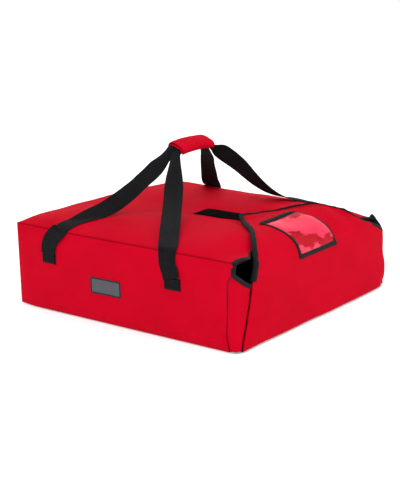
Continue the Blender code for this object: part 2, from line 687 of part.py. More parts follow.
def arch_rings(half_length, ring):
    """Rings of (y, z) offsets round the grip's middle line, which sinks a little to both ends."""
    x = np.linspace(-half_length, half_length, GRIP_STATIONS)
    sink = GRIP_ARCH * (2 * x / GRIP_LENGTH) ** 2
    rings = []
    for place, drop in zip(x, sink):
        rings.append([(place, HANDLE_Y + y, GRIP_Z - drop + z) for y, z in ring])
    return np.array(rings)


def rounded_ring(width, height, radius):
    """A rectangle with round corners as (y, z) offsets."""
    turn = np.linspace(0.0, math.pi / 2, 4)
    ring = []
    for quarter, (sign_y, sign_z) in enumerate(((1, 1), (-1, 1), (-1, -1), (1, -1))):
        centre = (sign_y * (width / 2 - radius), sign_z * (height / 2 - radius))
        angle = turn + quarter * math.pi / 2
        ring += list(zip(centre[0] + radius * np.cos(angle), centre[1] + radius * np.sin(angle)))
    return ring


def flat_ring(y_low, y_high, z_low, z_high):
    """A plain rectangle as (y, z) offsets."""
    return [(y_high, z_high), (y_low, z_high), (y_low, z_low), (y_high, z_low)]


def make_grip(finish, grip_joint, leaf_joint):
    """The padded sleeve round both straps, the straps' middles in it and the leaf that closes over it."""
    half = GRIP_LENGTH / 2
    tunnel_width = WEB_WIDTH + 2 * GRIP_TUNNEL_PLAY
    tunnel_height = 2 * WEB_THICKNESS + 3 * GAP
    pad_width = GRIP_WIDTH - 2 * (COVER + GAP)
    pad_height = GRIP_HEIGHT - 2 * (COVER + GAP)
    outer = arch_rings(half, rounded_ring(GRIP_WIDTH, GRIP_HEIGHT, GRIP_ROUND))
    inner_round = GRIP_ROUND - COVER
    hollow = rounded_ring(GRIP_WIDTH - 2 * COVER, GRIP_HEIGHT - 2 * COVER, inner_round)
    tube_solid("grip_sleeve", outer, arch_rings(half, hollow), finish["red"], grip_joint)
    pad = arch_rings(half, rounded_ring(pad_width, pad_height, inner_round - GAP))
    tunnel_round = GRIP_TUNNEL_PLAY
    tunnel = arch_rings(half, rounded_ring(tunnel_width, tunnel_height, tunnel_round))
    tube_solid("grip_pad", pad, tunnel, finish["foam"], grip_joint)
    for name, low in (("front", -GAP / 2 - WEB_THICKNESS), ("rear", GAP / 2)):
        ring = flat_ring(-WEB_WIDTH / 2, WEB_WIDTH / 2, low, low + WEB_THICKNESS)
        swept_solid(f"strap_{name}_middle", arch_rings(half, ring), finish["webbing"], grip_joint)
    top = GRIP_HEIGHT / 2
    tape_half = half - GRIP_TAPE_INSET
    tape_low = GRIP_TAPE_INSET - GRIP_WIDTH / 2
    loop = flat_ring(tape_low, -tape_low, top + GAP, top + GAP + TAPE)
    swept_solid("grip_loop_strip", arch_rings(tape_half, loop), finish["loop"], grip_joint)
    hook_low = top + TAPE_ROOM - GAP - TAPE
    hook = flat_ring(tape_low, -tape_low, hook_low, hook_low + TAPE)
    swept_solid("grip_hook_strip", arch_rings(tape_half, hook), finish["hook"], leaf_joint)
    leaf = flat_ring(-GRIP_WIDTH / 2, GRIP_WIDTH / 2, top + TAPE_ROOM, top + TAPE_ROOM + COVER)
    swept_solid("grip_leaf", arch_rings(half - GRIP_LEAF_INSET, leaf), finish["red"], leaf_joint)


def build():
    """Make every piece of the bag."""
    clear_scene()
    finish = {
        "red": make_material("red_nylon", (0.62, 0.0, 0.018), 0.62),
        "foam": make_material("grey_foam", (0.35, 0.35, 0.36), 0.9),
        "liner": make_material("black_liner", (0.018, 0.018, 0.02), 0.4),
        "binding": make_material("grey_binding", (0.04, 0.04, 0.045), 0.7),
        "webbing": make_material("black_webbing", (0.018, 0.016, 0.02), 0.75),
        "loop": make_material("black_loop_tape", (0.015, 0.015, 0.017), 0.95),
        "hook": make_material("black_hook_tape", (0.02, 0.02, 0.022), 0.6),
        "vinyl": make_material("clear_vinyl", (0.9, 0.9, 0.92), 0.08, alpha=0.35),
        "label": make_material("grey_label", (0.06, 0.065, 0.075), 0.6),
    }
    lower_joint = make_joint("flap_lower_hinge", FLAP_LOWER_HINGE)
    upper_joint = make_joint("flap_upper_hinge", FLAP_UPPER_HINGE, lower_joint)
    grip_joint = make_joint("grip_drop", GRIP_CENTRE)
    leaf_joint = make_joint("grip_leaf_hinge", GRIP_LEAF_HINGE, grip_joint)
    make_panels(finish)
    make_mouth_binding(finish)
    make_gussets(finish)
    make_label(finish)
    make_straps(finish)
    make_flap(finish, lower_joint, upper_joint)
    make_flap_binding(finish, upper_joint)
    make_ticket_pocket(finish, upper_joint)
    make_closure(finish, upper_joint)
    make_grip(finish, grip_joint, leaf_joint)


build()
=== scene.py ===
"""Looks for a soft insulated delivery bag: covers, lining, flap, pocket, straps and grip.

All lengths are in metres, in the frame's own axes: -Y is the open front, +Z is up.
"""

import logging
import math
from dataclasses import dataclass
from enum import Enum

import bmesh
import bpy
import numpy as np
from mathutils import Matrix, Vector

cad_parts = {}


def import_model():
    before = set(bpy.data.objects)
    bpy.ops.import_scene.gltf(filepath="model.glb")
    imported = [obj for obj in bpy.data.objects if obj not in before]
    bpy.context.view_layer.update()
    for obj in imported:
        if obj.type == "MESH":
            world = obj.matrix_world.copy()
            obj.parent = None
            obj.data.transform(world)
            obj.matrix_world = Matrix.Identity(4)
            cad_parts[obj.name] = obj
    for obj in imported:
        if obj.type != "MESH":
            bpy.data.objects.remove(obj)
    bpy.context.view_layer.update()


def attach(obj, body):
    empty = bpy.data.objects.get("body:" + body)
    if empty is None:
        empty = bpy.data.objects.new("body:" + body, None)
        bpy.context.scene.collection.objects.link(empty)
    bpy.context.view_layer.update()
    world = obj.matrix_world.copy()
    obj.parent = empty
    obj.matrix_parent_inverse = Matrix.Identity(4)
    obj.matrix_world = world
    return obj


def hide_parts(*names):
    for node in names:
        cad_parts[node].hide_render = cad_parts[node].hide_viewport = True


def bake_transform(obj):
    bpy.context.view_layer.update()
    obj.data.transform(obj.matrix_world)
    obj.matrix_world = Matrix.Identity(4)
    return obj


log = logging.getLogger("bag")

Array = np.ndarray
Pair = tuple[float, float]
Point = tuple[float, float, float]

WELD_DISTANCE = 2e-5  # points nearer than this are one point
# Seams are painted darker to stand in for the shade in their grooves; SEAM_DARKNESS is how strong that
# painted shade is.
SEAM_DARKNESS = 0.75  # how far a sewn line goes to the seam's shade


# Colour and node helpers


def linear(colour: str) -> tuple[float, float, float, float]:
    """Turn an sRGB hex colour into a linear one.

    Args:
        colour: six hex digits, such as "d2052a".

    Returns:
        Red, green, blue and an alpha of 1, each from 0 to 1.
    """
    srgb = np.array([int(colour[i:i + 2], 16) / 255 for i in (0, 2, 4)])
    light = np.where(srgb <= 0.04045, srgb / 12.92, ((srgb + 0.055) / 1.055) ** 2.4)
    return (*map(float, light), 1.0)


def add_node(tree: bpy.types.NodeTree, kind: str, values: dict | None = None,
             links: dict | None = None, **settings: object) -> bpy.types.Node:
    """Add a node with its settings, its socket values and the links into it.

    Args:
        tree: the node tree that gets the node.
        kind: the node's Blender type.
        values: socket name or number to its value.
        links: socket name or number to the output socket that feeds it.
        settings: properties of the node itself.

    Returns:
        The new node.
    """
    node = tree.nodes.new(kind)
    for name, value in settings.items():
        setattr(node, name, value)
    for key, value in (values or {}).items():
        node.inputs[key].default_value = value
    for key, source in (links or {}).items():
        tree.links.new(source, node.inputs[key])
    return node


def start_finish(name: str) -> tuple[bpy.types.Material, bpy.types.NodeTree, bpy.types.Node,
                                     bpy.types.NodeSocket]:
    """Begin a finish that reads the piece's flat places.

    Args:
        name: the material's name.

    Returns:
        The material, its node tree, its shader and the socket of flat places in metres.
    """
    material = bpy.data.materials.new(name)
    material.use_nodes = True
    tree = material.node_tree
    spot = add_node(tree, "ShaderNodeTexCoord").outputs["UV"]
    return material, tree, tree.nodes["Principled BSDF"], spot


def calculate(tree: bpy.types.NodeTree, operation: str,
              *operands: float | bpy.types.NodeSocket) -> bpy.types.NodeSocket:
    """Add a Math node.

    Args:
        tree: the node tree that gets it.
        operation: what it does, such as "MULTIPLY".
        operands: numbers, or the output sockets that feed it.

    Returns:
        The socket of its result.
    """
    values = {place: item for place, item in enumerate(operands) if isinstance(item, float)}
    links = {place: item for place, item in enumerate(operands) if place not in values}
    return add_node(tree, "ShaderNodeMath", values, links, operation=operation).outputs[0]


def mix_colours(tree: bpy.types.NodeTree, first: str, second: str,
                share: bpy.types.NodeSocket) -> bpy.types.NodeSocket:
    """Go from one hex colour to another by a share from 0 to 1, and return the colour's socket."""
    mixed = add_node(tree, "ShaderNodeMix", {"A": linear(first), "B": linear(second)},
                     {"Factor": share}, data_type="RGBA")
    return mixed.outputs["Result"]


def relief(tree: bpy.types.NodeTree, height: bpy.types.NodeSocket, depth_mm: float,
           normal: bpy.types.NodeSocket | None = None) -> bpy.types.NodeSocket:
    """Turn a height into a normal.

    Args:
        tree: the node tree.
        height: the socket that carries the height, from 0 to 1.
        depth_mm: how high 1 stands, in millimetres.
        normal: a coarser relief under this one.

    Returns:
        The socket of the bent normal.
    """
    links = {"Height": height} if normal is None else {"Height": height, "Normal": normal}
    values = {"Strength": 1.0, "Distance": depth_mm / 1000}
    return add_node(tree, "ShaderNodeBump", values, links).outputs[0]


# Mesh helpers


def smoothstep(value: Array | float, low: float = 0.0, high: float = 1.0) -> Array:
    """Ease from 0 at low to 1 at high: 3t^2 - 2t^3 with t the clipped share of the way.

    Args:
        value: where to read the curve.
        low: the value at which it starts.
        high: the value at which it ends.

    Returns:
        Numbers from 0 to 1, in the shape of value.
    """
    share = np.clip((np.asarray(value, float) - low) / (high - low), 0.0, 1.0)
    return share * share * (3 - 2 * share)


def crowded(count: int, pull: float = 0.75) -> Array:
    """Places from -1 to 1 that crowd towards both ends: a mix of even steps and a sine.

    Args:
        count: how many places.
        pull: 0 for even steps, 1 for the sine of even steps.

    Returns:
        The places in rising order.
    """
    even = np.linspace(-1.0, 1.0, count)
    return (1 - pull) * even + pull * np.sin(even * math.pi / 2)


def wander(u: Array, v: Array | float, wavelength: float, seed: int, waves: int = 14) -> Array:
    """A smooth field that looks random: the sum of plane waves of about one wavelength.

    Args:
        u: first coordinate in metres.
        v: second coordinate in metres.
        wavelength: the middle one of the waves' lengths.
        seed: which field.
        waves: how many waves are added.

    Returns:
        Heights of about -1 to 1, in the shape of u and v together.
    """
    source = np.random.default_rng(seed)
    angle = source.uniform(0, 2 * math.pi, waves)
    phase = source.uniform(0, 2 * math.pi, waves)
    rate = 2 * math.pi / (wavelength * source.uniform(0.65, 1.6, waves))
    u, v = np.broadcast_arrays(u, v)
    along = u[..., None] * np.cos(angle) + v[..., None] * np.sin(angle)
    return np.cos(along * rate + phase).sum(axis=-1) / math.sqrt(2 * waves)


def around(count: int) -> Array:
    """Angles once round a circle, in even steps from 0."""
    return np.linspace(0.0, 2 * math.pi, count, endpoint=False)


def squarer(wave: Array, power: float) -> Array:
    """A wave with flatter crests: its size to a power below 1, its sign kept."""
    return np.sign(wave) * np.abs(wave) ** power


def unit(rows: Array) -> Array:
    """Each row of vectors divided by its own length."""
    return rows / np.linalg.norm(rows, axis=1)[:, None]


@dataclass
class Patch:
    """A grid of points with a flat place in metres for each, and how dark the painted seam shade is at
    each.
    """

    points: Array
    flat: Array
    seam: Array | None = None
    rolled: bool = False

    def faces(self, start: int) -> Array:
        """The grid's quads as vertex numbers counted from start.

        Args:
            start: number of the grid's first vertex.

        Returns:
            One row of four numbers for each quad.
        """
        rows, columns = self.points.shape[:2]
        index = start + np.arange(rows * columns).reshape(rows, columns)
        if self.rolled:
            index = np.concatenate([index, index[:, :1]], axis=1)
        cells = (index[:-1, :-1], index[:-1, 1:], index[1:, 1:], index[1:, :-1])
        return np.stack([cell.ravel() for cell in cells], axis=-1)


class Facing(Enum):
    """Which way a surface looks from a point inside the bag."""

    OUT = 1.0
    IN = -1.0
    KEEP = 0.0


def make_piece(name: str, patches: list[Patch], material: bpy.types.Material,
               facing: Facing = Facing.KEEP, middle: Point = (0.0, 0.0, 0.08)) -> bpy.types.Object:
    """Weld grids into one object, with their flat places as its UV map.

    Args:
        name: the object's name.
        patches: the grids.
        material: the finish.
        facing: whether the faces look away from the middle or towards it.
        middle: the point that facing is read from.

    Returns:
        The new object, smooth shaded, at the origin.
    """
    starts = np.cumsum([0] + [patch.points.shape[0] * patch.points.shape[1] for patch in patches])
    points = np.concatenate([patch.points.reshape(-1, 3) for patch in patches])
    flat = np.concatenate([patch.flat.reshape(-1, 2) for patch in patches])
    seams = [np.zeros(p.points.shape[:2]) if p.seam is None else p.seam for p in patches]
    seam = np.concatenate([part.ravel() for part in seams])
    faces = np.concatenate([patch.faces(int(start)) for patch, start in zip(patches, starts)])
    mesh = bpy.data.meshes.new(name)
    mesh.from_pydata(points.tolist(), [], faces.tolist())
    corners = np.empty(len(mesh.loops), dtype=np.int64)
    mesh.loops.foreach_get("vertex_index", corners)
    layer = mesh.uv_layers.new(name="UVMap")
    layer.data.foreach_set("uv", flat[corners].ravel())
    mark = mesh.attributes.new("seam", "FLOAT", "POINT")
    mark.data.foreach_set("value", seam)
    shape = bmesh.new()
    shape.from_mesh(mesh)
    bmesh.ops.remove_doubles(shape, verts=shape.verts, dist=WELD_DISTANCE)
    bmesh.ops.recalc_face_normals(shape, faces=shape.faces)
    shape.to_mesh(mesh)
    shape.free()
    turn_faces(mesh, facing, middle)
    mesh.shade_smooth()
    mesh.materials.append(material)
    piece = bpy.data.objects.new(name, mesh)
    bpy.context.collection.objects.link(piece)
    return piece


def turn_faces(mesh: bpy.types.Mesh, facing: Facing, middle: Point) -> None:
    """Flip a mesh whose faces look the wrong way, by the sum of normal times way out times area.

    Args:
        mesh: the mesh to turn.
        facing: the way that its faces should look.
        middle: the point to look from.
    """
    if facing is Facing.KEEP:
        return
    count = len(mesh.polygons)
    normal, centre, area = np.empty(count * 3), np.empty(count * 3), np.empty(count)
    mesh.polygons.foreach_get("normal", normal)
    mesh.polygons.foreach_get("center", centre)
    mesh.polygons.foreach_get("area", area)
    away = centre.reshape(-1, 3) - np.array(middle)
    total = ((normal.reshape(-1, 3) * away).sum(axis=1) * area).sum()
    if total * facing.value < 0:
        mesh.flip_normals()


def closed_layer(outer: Array, inner: Array, flat: Array) -> list[Patch]:
    """The grids of a closed sheet between two matching grids: both faces and the four edges.

    Args:
        outer: points of the outer face.
        inner: points of the inner face.
        flat: flat place of each point.

    Returns:
        Patches that weld into a closed piece.
    """
    patches = [Patch(outer, flat), Patch(inner, flat)]
    borders = ((slice(0, 1), slice(None)), (slice(-1, None), slice(None)),
               (slice(None), slice(0, 1)), (slice(None), slice(-1, None)))
    for rows, columns in borders:
        edge = np.stack([outer[rows, columns].reshape(-1, 3), inner[rows, columns].reshape(-1, 3)])
        place = flat[rows, columns].reshape(-1, 2)
        patches.append(Patch(edge, np.stack([place, place])))
    return patches


def solidify(piece: bpy.types.Object, thickness: float) -> None:
    """Give a sheet its thickness behind its faces.

    Args:
        piece: the sheet.
        thickness: how thick, in metres.
    """
    wall = piece.modifiers.new("thickness", "SOLIDIFY")
    wall.thickness = thickness
    wall.offset = -1.0
    wall.use_even_offset = False


def sweep(rings: Array, lengths: Array, capped: bool = True) -> list[Patch]:
    """The grid of a closed section carried through rings, with ends drawn to their middles.

    Args:
        rings: points as (station, corner, 3).
        lengths: distance along the path of each station.
        capped: whether the ends are closed.

    Returns:
        The side as a rolled patch and the two end caps.
    """
    step = np.linalg.norm(np.roll(rings, -1, axis=1) - rings, axis=2).mean(axis=0)
    round_way = np.concatenate([[0.0], np.cumsum(step)])[:-1]
    flat = np.dstack(np.broadcast_arrays(round_way[None, :], lengths[:, None]))
    patches = [Patch(rings, flat, rolled=True)]
    if capped:
        for end, place in ((0, lengths[0]), (-1, lengths[-1])):
            ring = rings[end]
            centre = np.broadcast_to(ring.mean(axis=0), ring.shape)
            cap = np.stack([ring, centre])
            spot = np.dstack([np.stack([round_way, round_way * 0]),
                              np.full((2, len(round_way)), place)])
            patches.append(Patch(cap, spot, rolled=True))
    return patches


def path_length(points: Array) -> Array:
    """Distance along a row of points from its first.

    Args:
        points: the row, one point a line.

    Returns:
        One length for each point.
    """
    step = np.linalg.norm(np.diff(points, axis=0), axis=1)
    return np.concatenate([[0.0], np.cumsum(step)])


def smooth_line(points: Array, steps: int) -> Array:
    """A smooth curve through points: a Catmull-Rom cubic in each span.

    Args:
        points: what the curve passes through.
        steps: points to each span.

    Returns:
        The curve's points.
    """
    points = np.asarray(points, float)
    ends = np.vstack([2 * points[0] - points[1], points, 2 * points[-1] - points[-2]])
    a, b, c, d = ends[:-3, None], ends[1:-2, None], ends[2:-1, None], ends[3:, None]
    share = np.linspace(0.0, 1.0, steps, endpoint=False)[None, :, None]
    cubic = (3 * b - a - 3 * c + d) * share ** 3
    square = (2 * a - 5 * b + 4 * c - d) * share ** 2
    spans = (2 * b + (c - a) * share + square + cubic) / 2
    return np.vstack([spans.reshape(-1, points.shape[1]), points[-1:]])


# Finishes


@dataclass(frozen=True)
class WovenCloth:
    """A plain-woven cloth: warp and weft pass over each other in turn.

    Each thread is a half sine across its width, and a checker of one thread's width says which of
    the two shows. The colour drifts a little over the cloth, and is painted darker along the seams
    as the shade in the groove where a seam draws it in.
    """

    name: str
    colour: str
    shade: str
    thread_mm: float
    roughness: float
    sheen: float
    bump_mm: float
    seam_shade: str = "000000"
    coat: float = 0.0
    crinkle_mm: float = 0.0
    specular: float = 0.5

    def material(self) -> bpy.types.Material:
        """Build the finish as a Blender material."""
        material, tree, shader, spot = start_finish(self.name)
        drift = add_node(tree, "ShaderNodeTexNoise", {"Scale": 9.0, "Detail": 4.0, "Roughness": 0.6},
                         {"Vector": spot})
        fleck = add_node(tree, "ShaderNodeTexNoise", {"Scale": 260.0, "Detail": 2.0}, {"Vector": spot})
        mixed = calculate(tree, "MULTIPLY_ADD", fleck.outputs["Fac"], 0.35, drift.outputs["Fac"])
        tone = add_node(tree, "ShaderNodeMapRange", {"From Min": 0.45, "From Max": 0.95},
                        {"Value": mixed})
        base = mix_colours(tree, self.colour, self.shade, tone.outputs[0])
        # Painted shade: the colour goes towards seam_shade along the sewn lines, for the shade in their
        # grooves.
        seam = add_node(tree, "ShaderNodeAttribute", attribute_name="seam")
        painted_seam_shade = add_node(tree, "ShaderNodeMix", {"B": linear(self.seam_shade)},
                        {"Factor": seam.outputs["Fac"], "A": base}, data_type="RGBA")
        tree.links.new(painted_seam_shade.outputs["Result"], shader.inputs["Base Color"])
        crease = add_node(tree, "ShaderNodeTexNoise", {"Scale": 55.0, "Detail": 3.0, "Distortion": 0.6},
                          {"Vector": spot})
        fold = relief(tree, crease.outputs["Fac"], self.crinkle_mm)
        bump = relief(tree, self.weave(tree, spot), self.bump_mm, fold)
        tree.links.new(bump, shader.inputs["Normal"])
        shader.inputs["Roughness"].default_value = self.roughness
        shader.inputs["IOR"].default_value = 1.53
        shader.inputs["Sheen Weight"].default_value = self.sheen
        shader.inputs["Sheen Roughness"].default_value = 0.4
        shader.inputs["Sheen Tint"].default_value = linear(self.colour)
        shader.inputs["Specular IOR Level"].default_value = self.specular
        shader.inputs["Coat Weight"].default_value = self.coat
        shader.inputs["Coat Roughness"].default_value = 0.3
        return material

    def weave(self, tree: bpy.types.NodeTree, spot: bpy.types.NodeSocket) -> bpy.types.NodeSocket:
        """Height of the threads from the flat place of each point.

        Args:
            tree: the node tree.
            spot: the flat place, in metres.

        Returns:
            The socket that carries the height.
        """
        rate = 1000 / self.thread_mm
        scaled = add_node(tree, "ShaderNodeMapping", {"Scale": (rate, rate, rate)}, {"Vector": spot})
        parts = add_node(tree, "ShaderNodeSeparateXYZ", links={0: scaled.outputs[0]})
        waves = [calculate(tree, "SINE", calculate(tree, "MULTIPLY", parts.outputs[axis], math.pi))
                 for axis in (0, 1)]
        warp, weft = (calculate(tree, "ABSOLUTE", wave) for wave in waves)
        over = add_node(tree, "ShaderNodeTexChecker", {"Scale": 1.0}, {"Vector": scaled.outputs[0]})
        shown = add_node(tree, "ShaderNodeMix",
                         links={"Factor": over.outputs["Fac"], "A": warp, "B": weft}, data_type="FLOAT")
        return shown.outputs["Result"]


@dataclass(frozen=True)
class RibbedTape:
    """A woven tape: ribs across it and, on webbing, the lengthwise cords between them.

    Height is the sine of the length over the rib pitch, turned by a lean across the tape. The colour
    follows it, as a painted highlight on the crests and painted shade in the grooves.
    """

    name: str
    colour: str
    shade: str
    rib_mm: float
    cord_mm: float
    lean: float
    roughness: float
    bump_mm: float
    specular: float = 0.25

    def material(self) -> bpy.types.Material:
        """Build the finish as a Blender material."""
        material, tree, shader, spot = start_finish(self.name)
        parts = add_node(tree, "ShaderNodeSeparateXYZ", links={0: spot})
        across, along = parts.outputs[0], parts.outputs[1]
        cord = calculate(tree, "MULTIPLY", across, 2000 * math.pi / self.cord_mm)
        cord_wave = calculate(tree, "SINE", cord)
        leaned = calculate(tree, "MULTIPLY", cord_wave, self.lean)
        rib = calculate(tree, "MULTIPLY_ADD", along, 2000 * math.pi / self.rib_mm, leaned)
        height = calculate(tree, "MULTIPLY_ADD", cord_wave, 0.6, calculate(tree, "SINE", rib))
        # Painted light and shade on the ribs: lighter on the crests and darker in the grooves, broken up
        # by a random noise.
        tone = add_node(tree, "ShaderNodeMapRange", {"From Min": -1.6, "From Max": 1.6},
                        {"Value": height})
        dust = add_node(tree, "ShaderNodeTexNoise", {"Scale": 70.0, "Detail": 5.0}, {"Vector": spot})
        mixed = calculate(tree, "MULTIPLY", tone.outputs[0], dust.outputs["Fac"])
        base = mix_colours(tree, self.shade, self.colour, mixed)
        tree.links.new(base, shader.inputs["Base Color"])
        tree.links.new(relief(tree, height, self.bump_mm), shader.inputs["Normal"])
        shader.inputs["Roughness"].default_value = self.roughness
        shader.inputs["IOR"].default_value = 1.5
        shader.inputs["Specular IOR Level"].default_value = self.specular
        shader.inputs["Sheen Weight"].default_value = 0.02
        shader.inputs["Sheen Roughness"].default_value = 0.5
        return material


@dataclass(frozen=True)
class PileTape:
    """Hook or loop tape: a mass of tiny loops or hooks that takes the light unevenly."""

    name: str
    colour: str
    shade: str
    pile_mm: float
    bump_mm: float
    roughness: float

    def material(self) -> bpy.types.Material:
        """Build the finish as a Blender material."""
        material, tree, shader, spot = start_finish(self.name)
        pile = add_node(tree, "ShaderNodeTexVoronoi", {"Scale": 1000 / self.pile_mm, "Randomness": 1.0},
                        {"Vector": spot})
        base = mix_colours(tree, self.colour, self.shade, pile.outputs["Distance"])
        tree.links.new(base, shader.inputs["Base Color"])
        tree.links.new(relief(tree, pile.outputs["Distance"], self.bump_mm), shader.inputs["Normal"])
        shader.inputs["Roughness"].default_value = self.roughness
        shader.inputs["Specular IOR Level"].default_value = 0.02
        return material


@dataclass(frozen=True)
class ClearVinyl:
    """Soft clear PVC film, pressed smooth: it shows what is under it and mirrors the room."""

    name: str = "clear_pvc_film"
    glare: str = "f51e4c"
    clear: str = "cc0020"
    roughness: float = 0.08
    wrinkle_mm: float = 2.0
    glare_spacing: float = 0.095
    glare_skew: float = 0.35
    glare_tear: float = 0.05
    glare_phase: float = -0.6

    def material(self) -> bpy.types.Material:
        """Build the finish: clear film with wrinkled zones that catch the window's light.

        The glare is a sine of the length along the film, skewed and torn by a noise.
        """
        material, tree, shader, spot = start_finish(self.name)
        wave = add_node(tree, "ShaderNodeTexNoise", {"Scale": 26.0, "Detail": 1.0}, {"Vector": spot})
        tree.links.new(relief(tree, wave.outputs["Fac"], self.wrinkle_mm), shader.inputs["Normal"])
        torn = add_node(tree, "ShaderNodeTexNoise", {"Scale": 38.0, "Detail": 2.0, "Distortion": 0.6},
                        {"Vector": spot})
        parts = add_node(tree, "ShaderNodeSeparateXYZ", links={"Vector": spot})
        skewed = calculate(tree, "MULTIPLY", parts.outputs["X"], self.glare_skew)
        along = calculate(tree, "ADD", parts.outputs["Y"], skewed)
        moved = calculate(tree, "ADD", along,
                          calculate(tree, "MULTIPLY", torn.outputs["Fac"], self.glare_tear))
        turn = calculate(tree, "MULTIPLY", moved, 2 * math.pi / self.glare_spacing)
        band = calculate(tree, "SINE", calculate(tree, "ADD", turn, self.glare_phase))
        zone = add_node(tree, "ShaderNodeMapRange", {"From Min": -0.72, "From Max": -0.50},
                        {"Value": band})
        base = mix_colours(tree, self.clear, self.glare, zone.outputs["Result"])
        tree.links.new(base, shader.inputs["Base Color"])
        # Where the painted glare lies the film is also made less clear, as part of the painted
        # reflection.
        thick = add_node(tree, "ShaderNodeMapRange", {"To Min": 0.20, "To Max": 0.78},
                         {"Value": zone.outputs["Result"]})
        tree.links.new(thick.outputs["Result"], shader.inputs["Alpha"])
        shader.inputs["Roughness"].default_value = self.roughness
        shader.inputs["IOR"].default_value = 1.53
        shader.inputs["Specular IOR Level"].default_value = 0.25
        shader.inputs["Coat Weight"].default_value = 0.15
        shader.inputs["Coat Roughness"].default_value = 0.05
        return material


class Palette:
    """Every finish on the bag, made once."""

    def __init__(self) -> None:
        """Build the materials."""
        # Coated 600 denier nylon: matt and even, with a fine weave. Threads are 0.5 mm apart on the
        # real cloth and are drawn at 1.2 mm so that they show.
        # Its seams are painted towards seam_shade, a dark red that stands in for the shade in their
        # grooves.
        self.red = WovenCloth(
            "red_coated_nylon", "be0320", "ae021b", thread_mm=1.2, roughness=0.75, sheen=0.0,
            bump_mm=0.14, seam_shade="66000e", crinkle_mm=0.6, specular=0.02).material()
        # Coated nylon lining: black and a little shiny, crinkled by the foam behind it.
        self.lining = WovenCloth(
            "black_coated_lining", "111113", "09090a", thread_mm=1.4, roughness=0.42, sheen=0.0,
            bump_mm=0.08, coat=0.04, crinkle_mm=1.2, specular=0.22).material()
        # Polypropylene webbing: heavy cords with a slight herringbone, ribs 2 mm apart.
        self.webbing = RibbedTape(
            "black_polypropylene_webbing", "202024", "0b0b0c", rib_mm=2.0, cord_mm=4.2, lean=1.4,
            roughness=0.78, bump_mm=0.30, specular=0.06).material()
        # Grosgrain binding: fine ribs across the tape, faded to a dark grey.
        self.binding = RibbedTape(
            "grey_grosgrain_binding", "1d1e22", "101114", rib_mm=1.3, cord_mm=9.0, lean=0.2,
            roughness=0.78, bump_mm=0.18, specular=0.12).material()
        # Loop tape: a brushed pile that takes nearly no light.
        self.loop = PileTape("black_loop_pile", "050506", "020202", pile_mm=0.9, bump_mm=0.5,
                             roughness=0.95).material()
        # Hook tape: stiff nylon hooks in rows, a little shinier than the loops.
        self.hook = PileTape("black_nylon_hooks", "222225", "0c0c0d", pile_mm=1.4, bump_mm=0.6,
                             roughness=0.55).material()
        # Clear film over the ticket: the cloth shows through, and two zones of it catch the light.
        self.vinyl = ClearVinyl().material()
        # Woven polyester patch, with a close satin weave.
        self.patch = WovenCloth("slate_woven_patch", "41454d", "363a42", thread_mm=0.9, roughness=0.6,
                                sheen=0.1, bump_mm=0.06).material()
        # Overlocked polyester edge: fine threads side by side, wound over the patch's border.
        self.patch_edge = RibbedTape("black_overlocked_edge", "26262a", "131316", rib_mm=1.1, cord_mm=6.0,
                                     lean=0.1, roughness=0.7, bump_mm=0.2).material()
        # Bonded polyester thread: round and slightly waxy.
        self.black_thread = RibbedTape(
            "black_bonded_thread", "2b2b30", "18181b", rib_mm=0.8, cord_mm=5.0, lean=0.3,
            roughness=0.5, bump_mm=0.05).material()


# The shapes that the pieces share


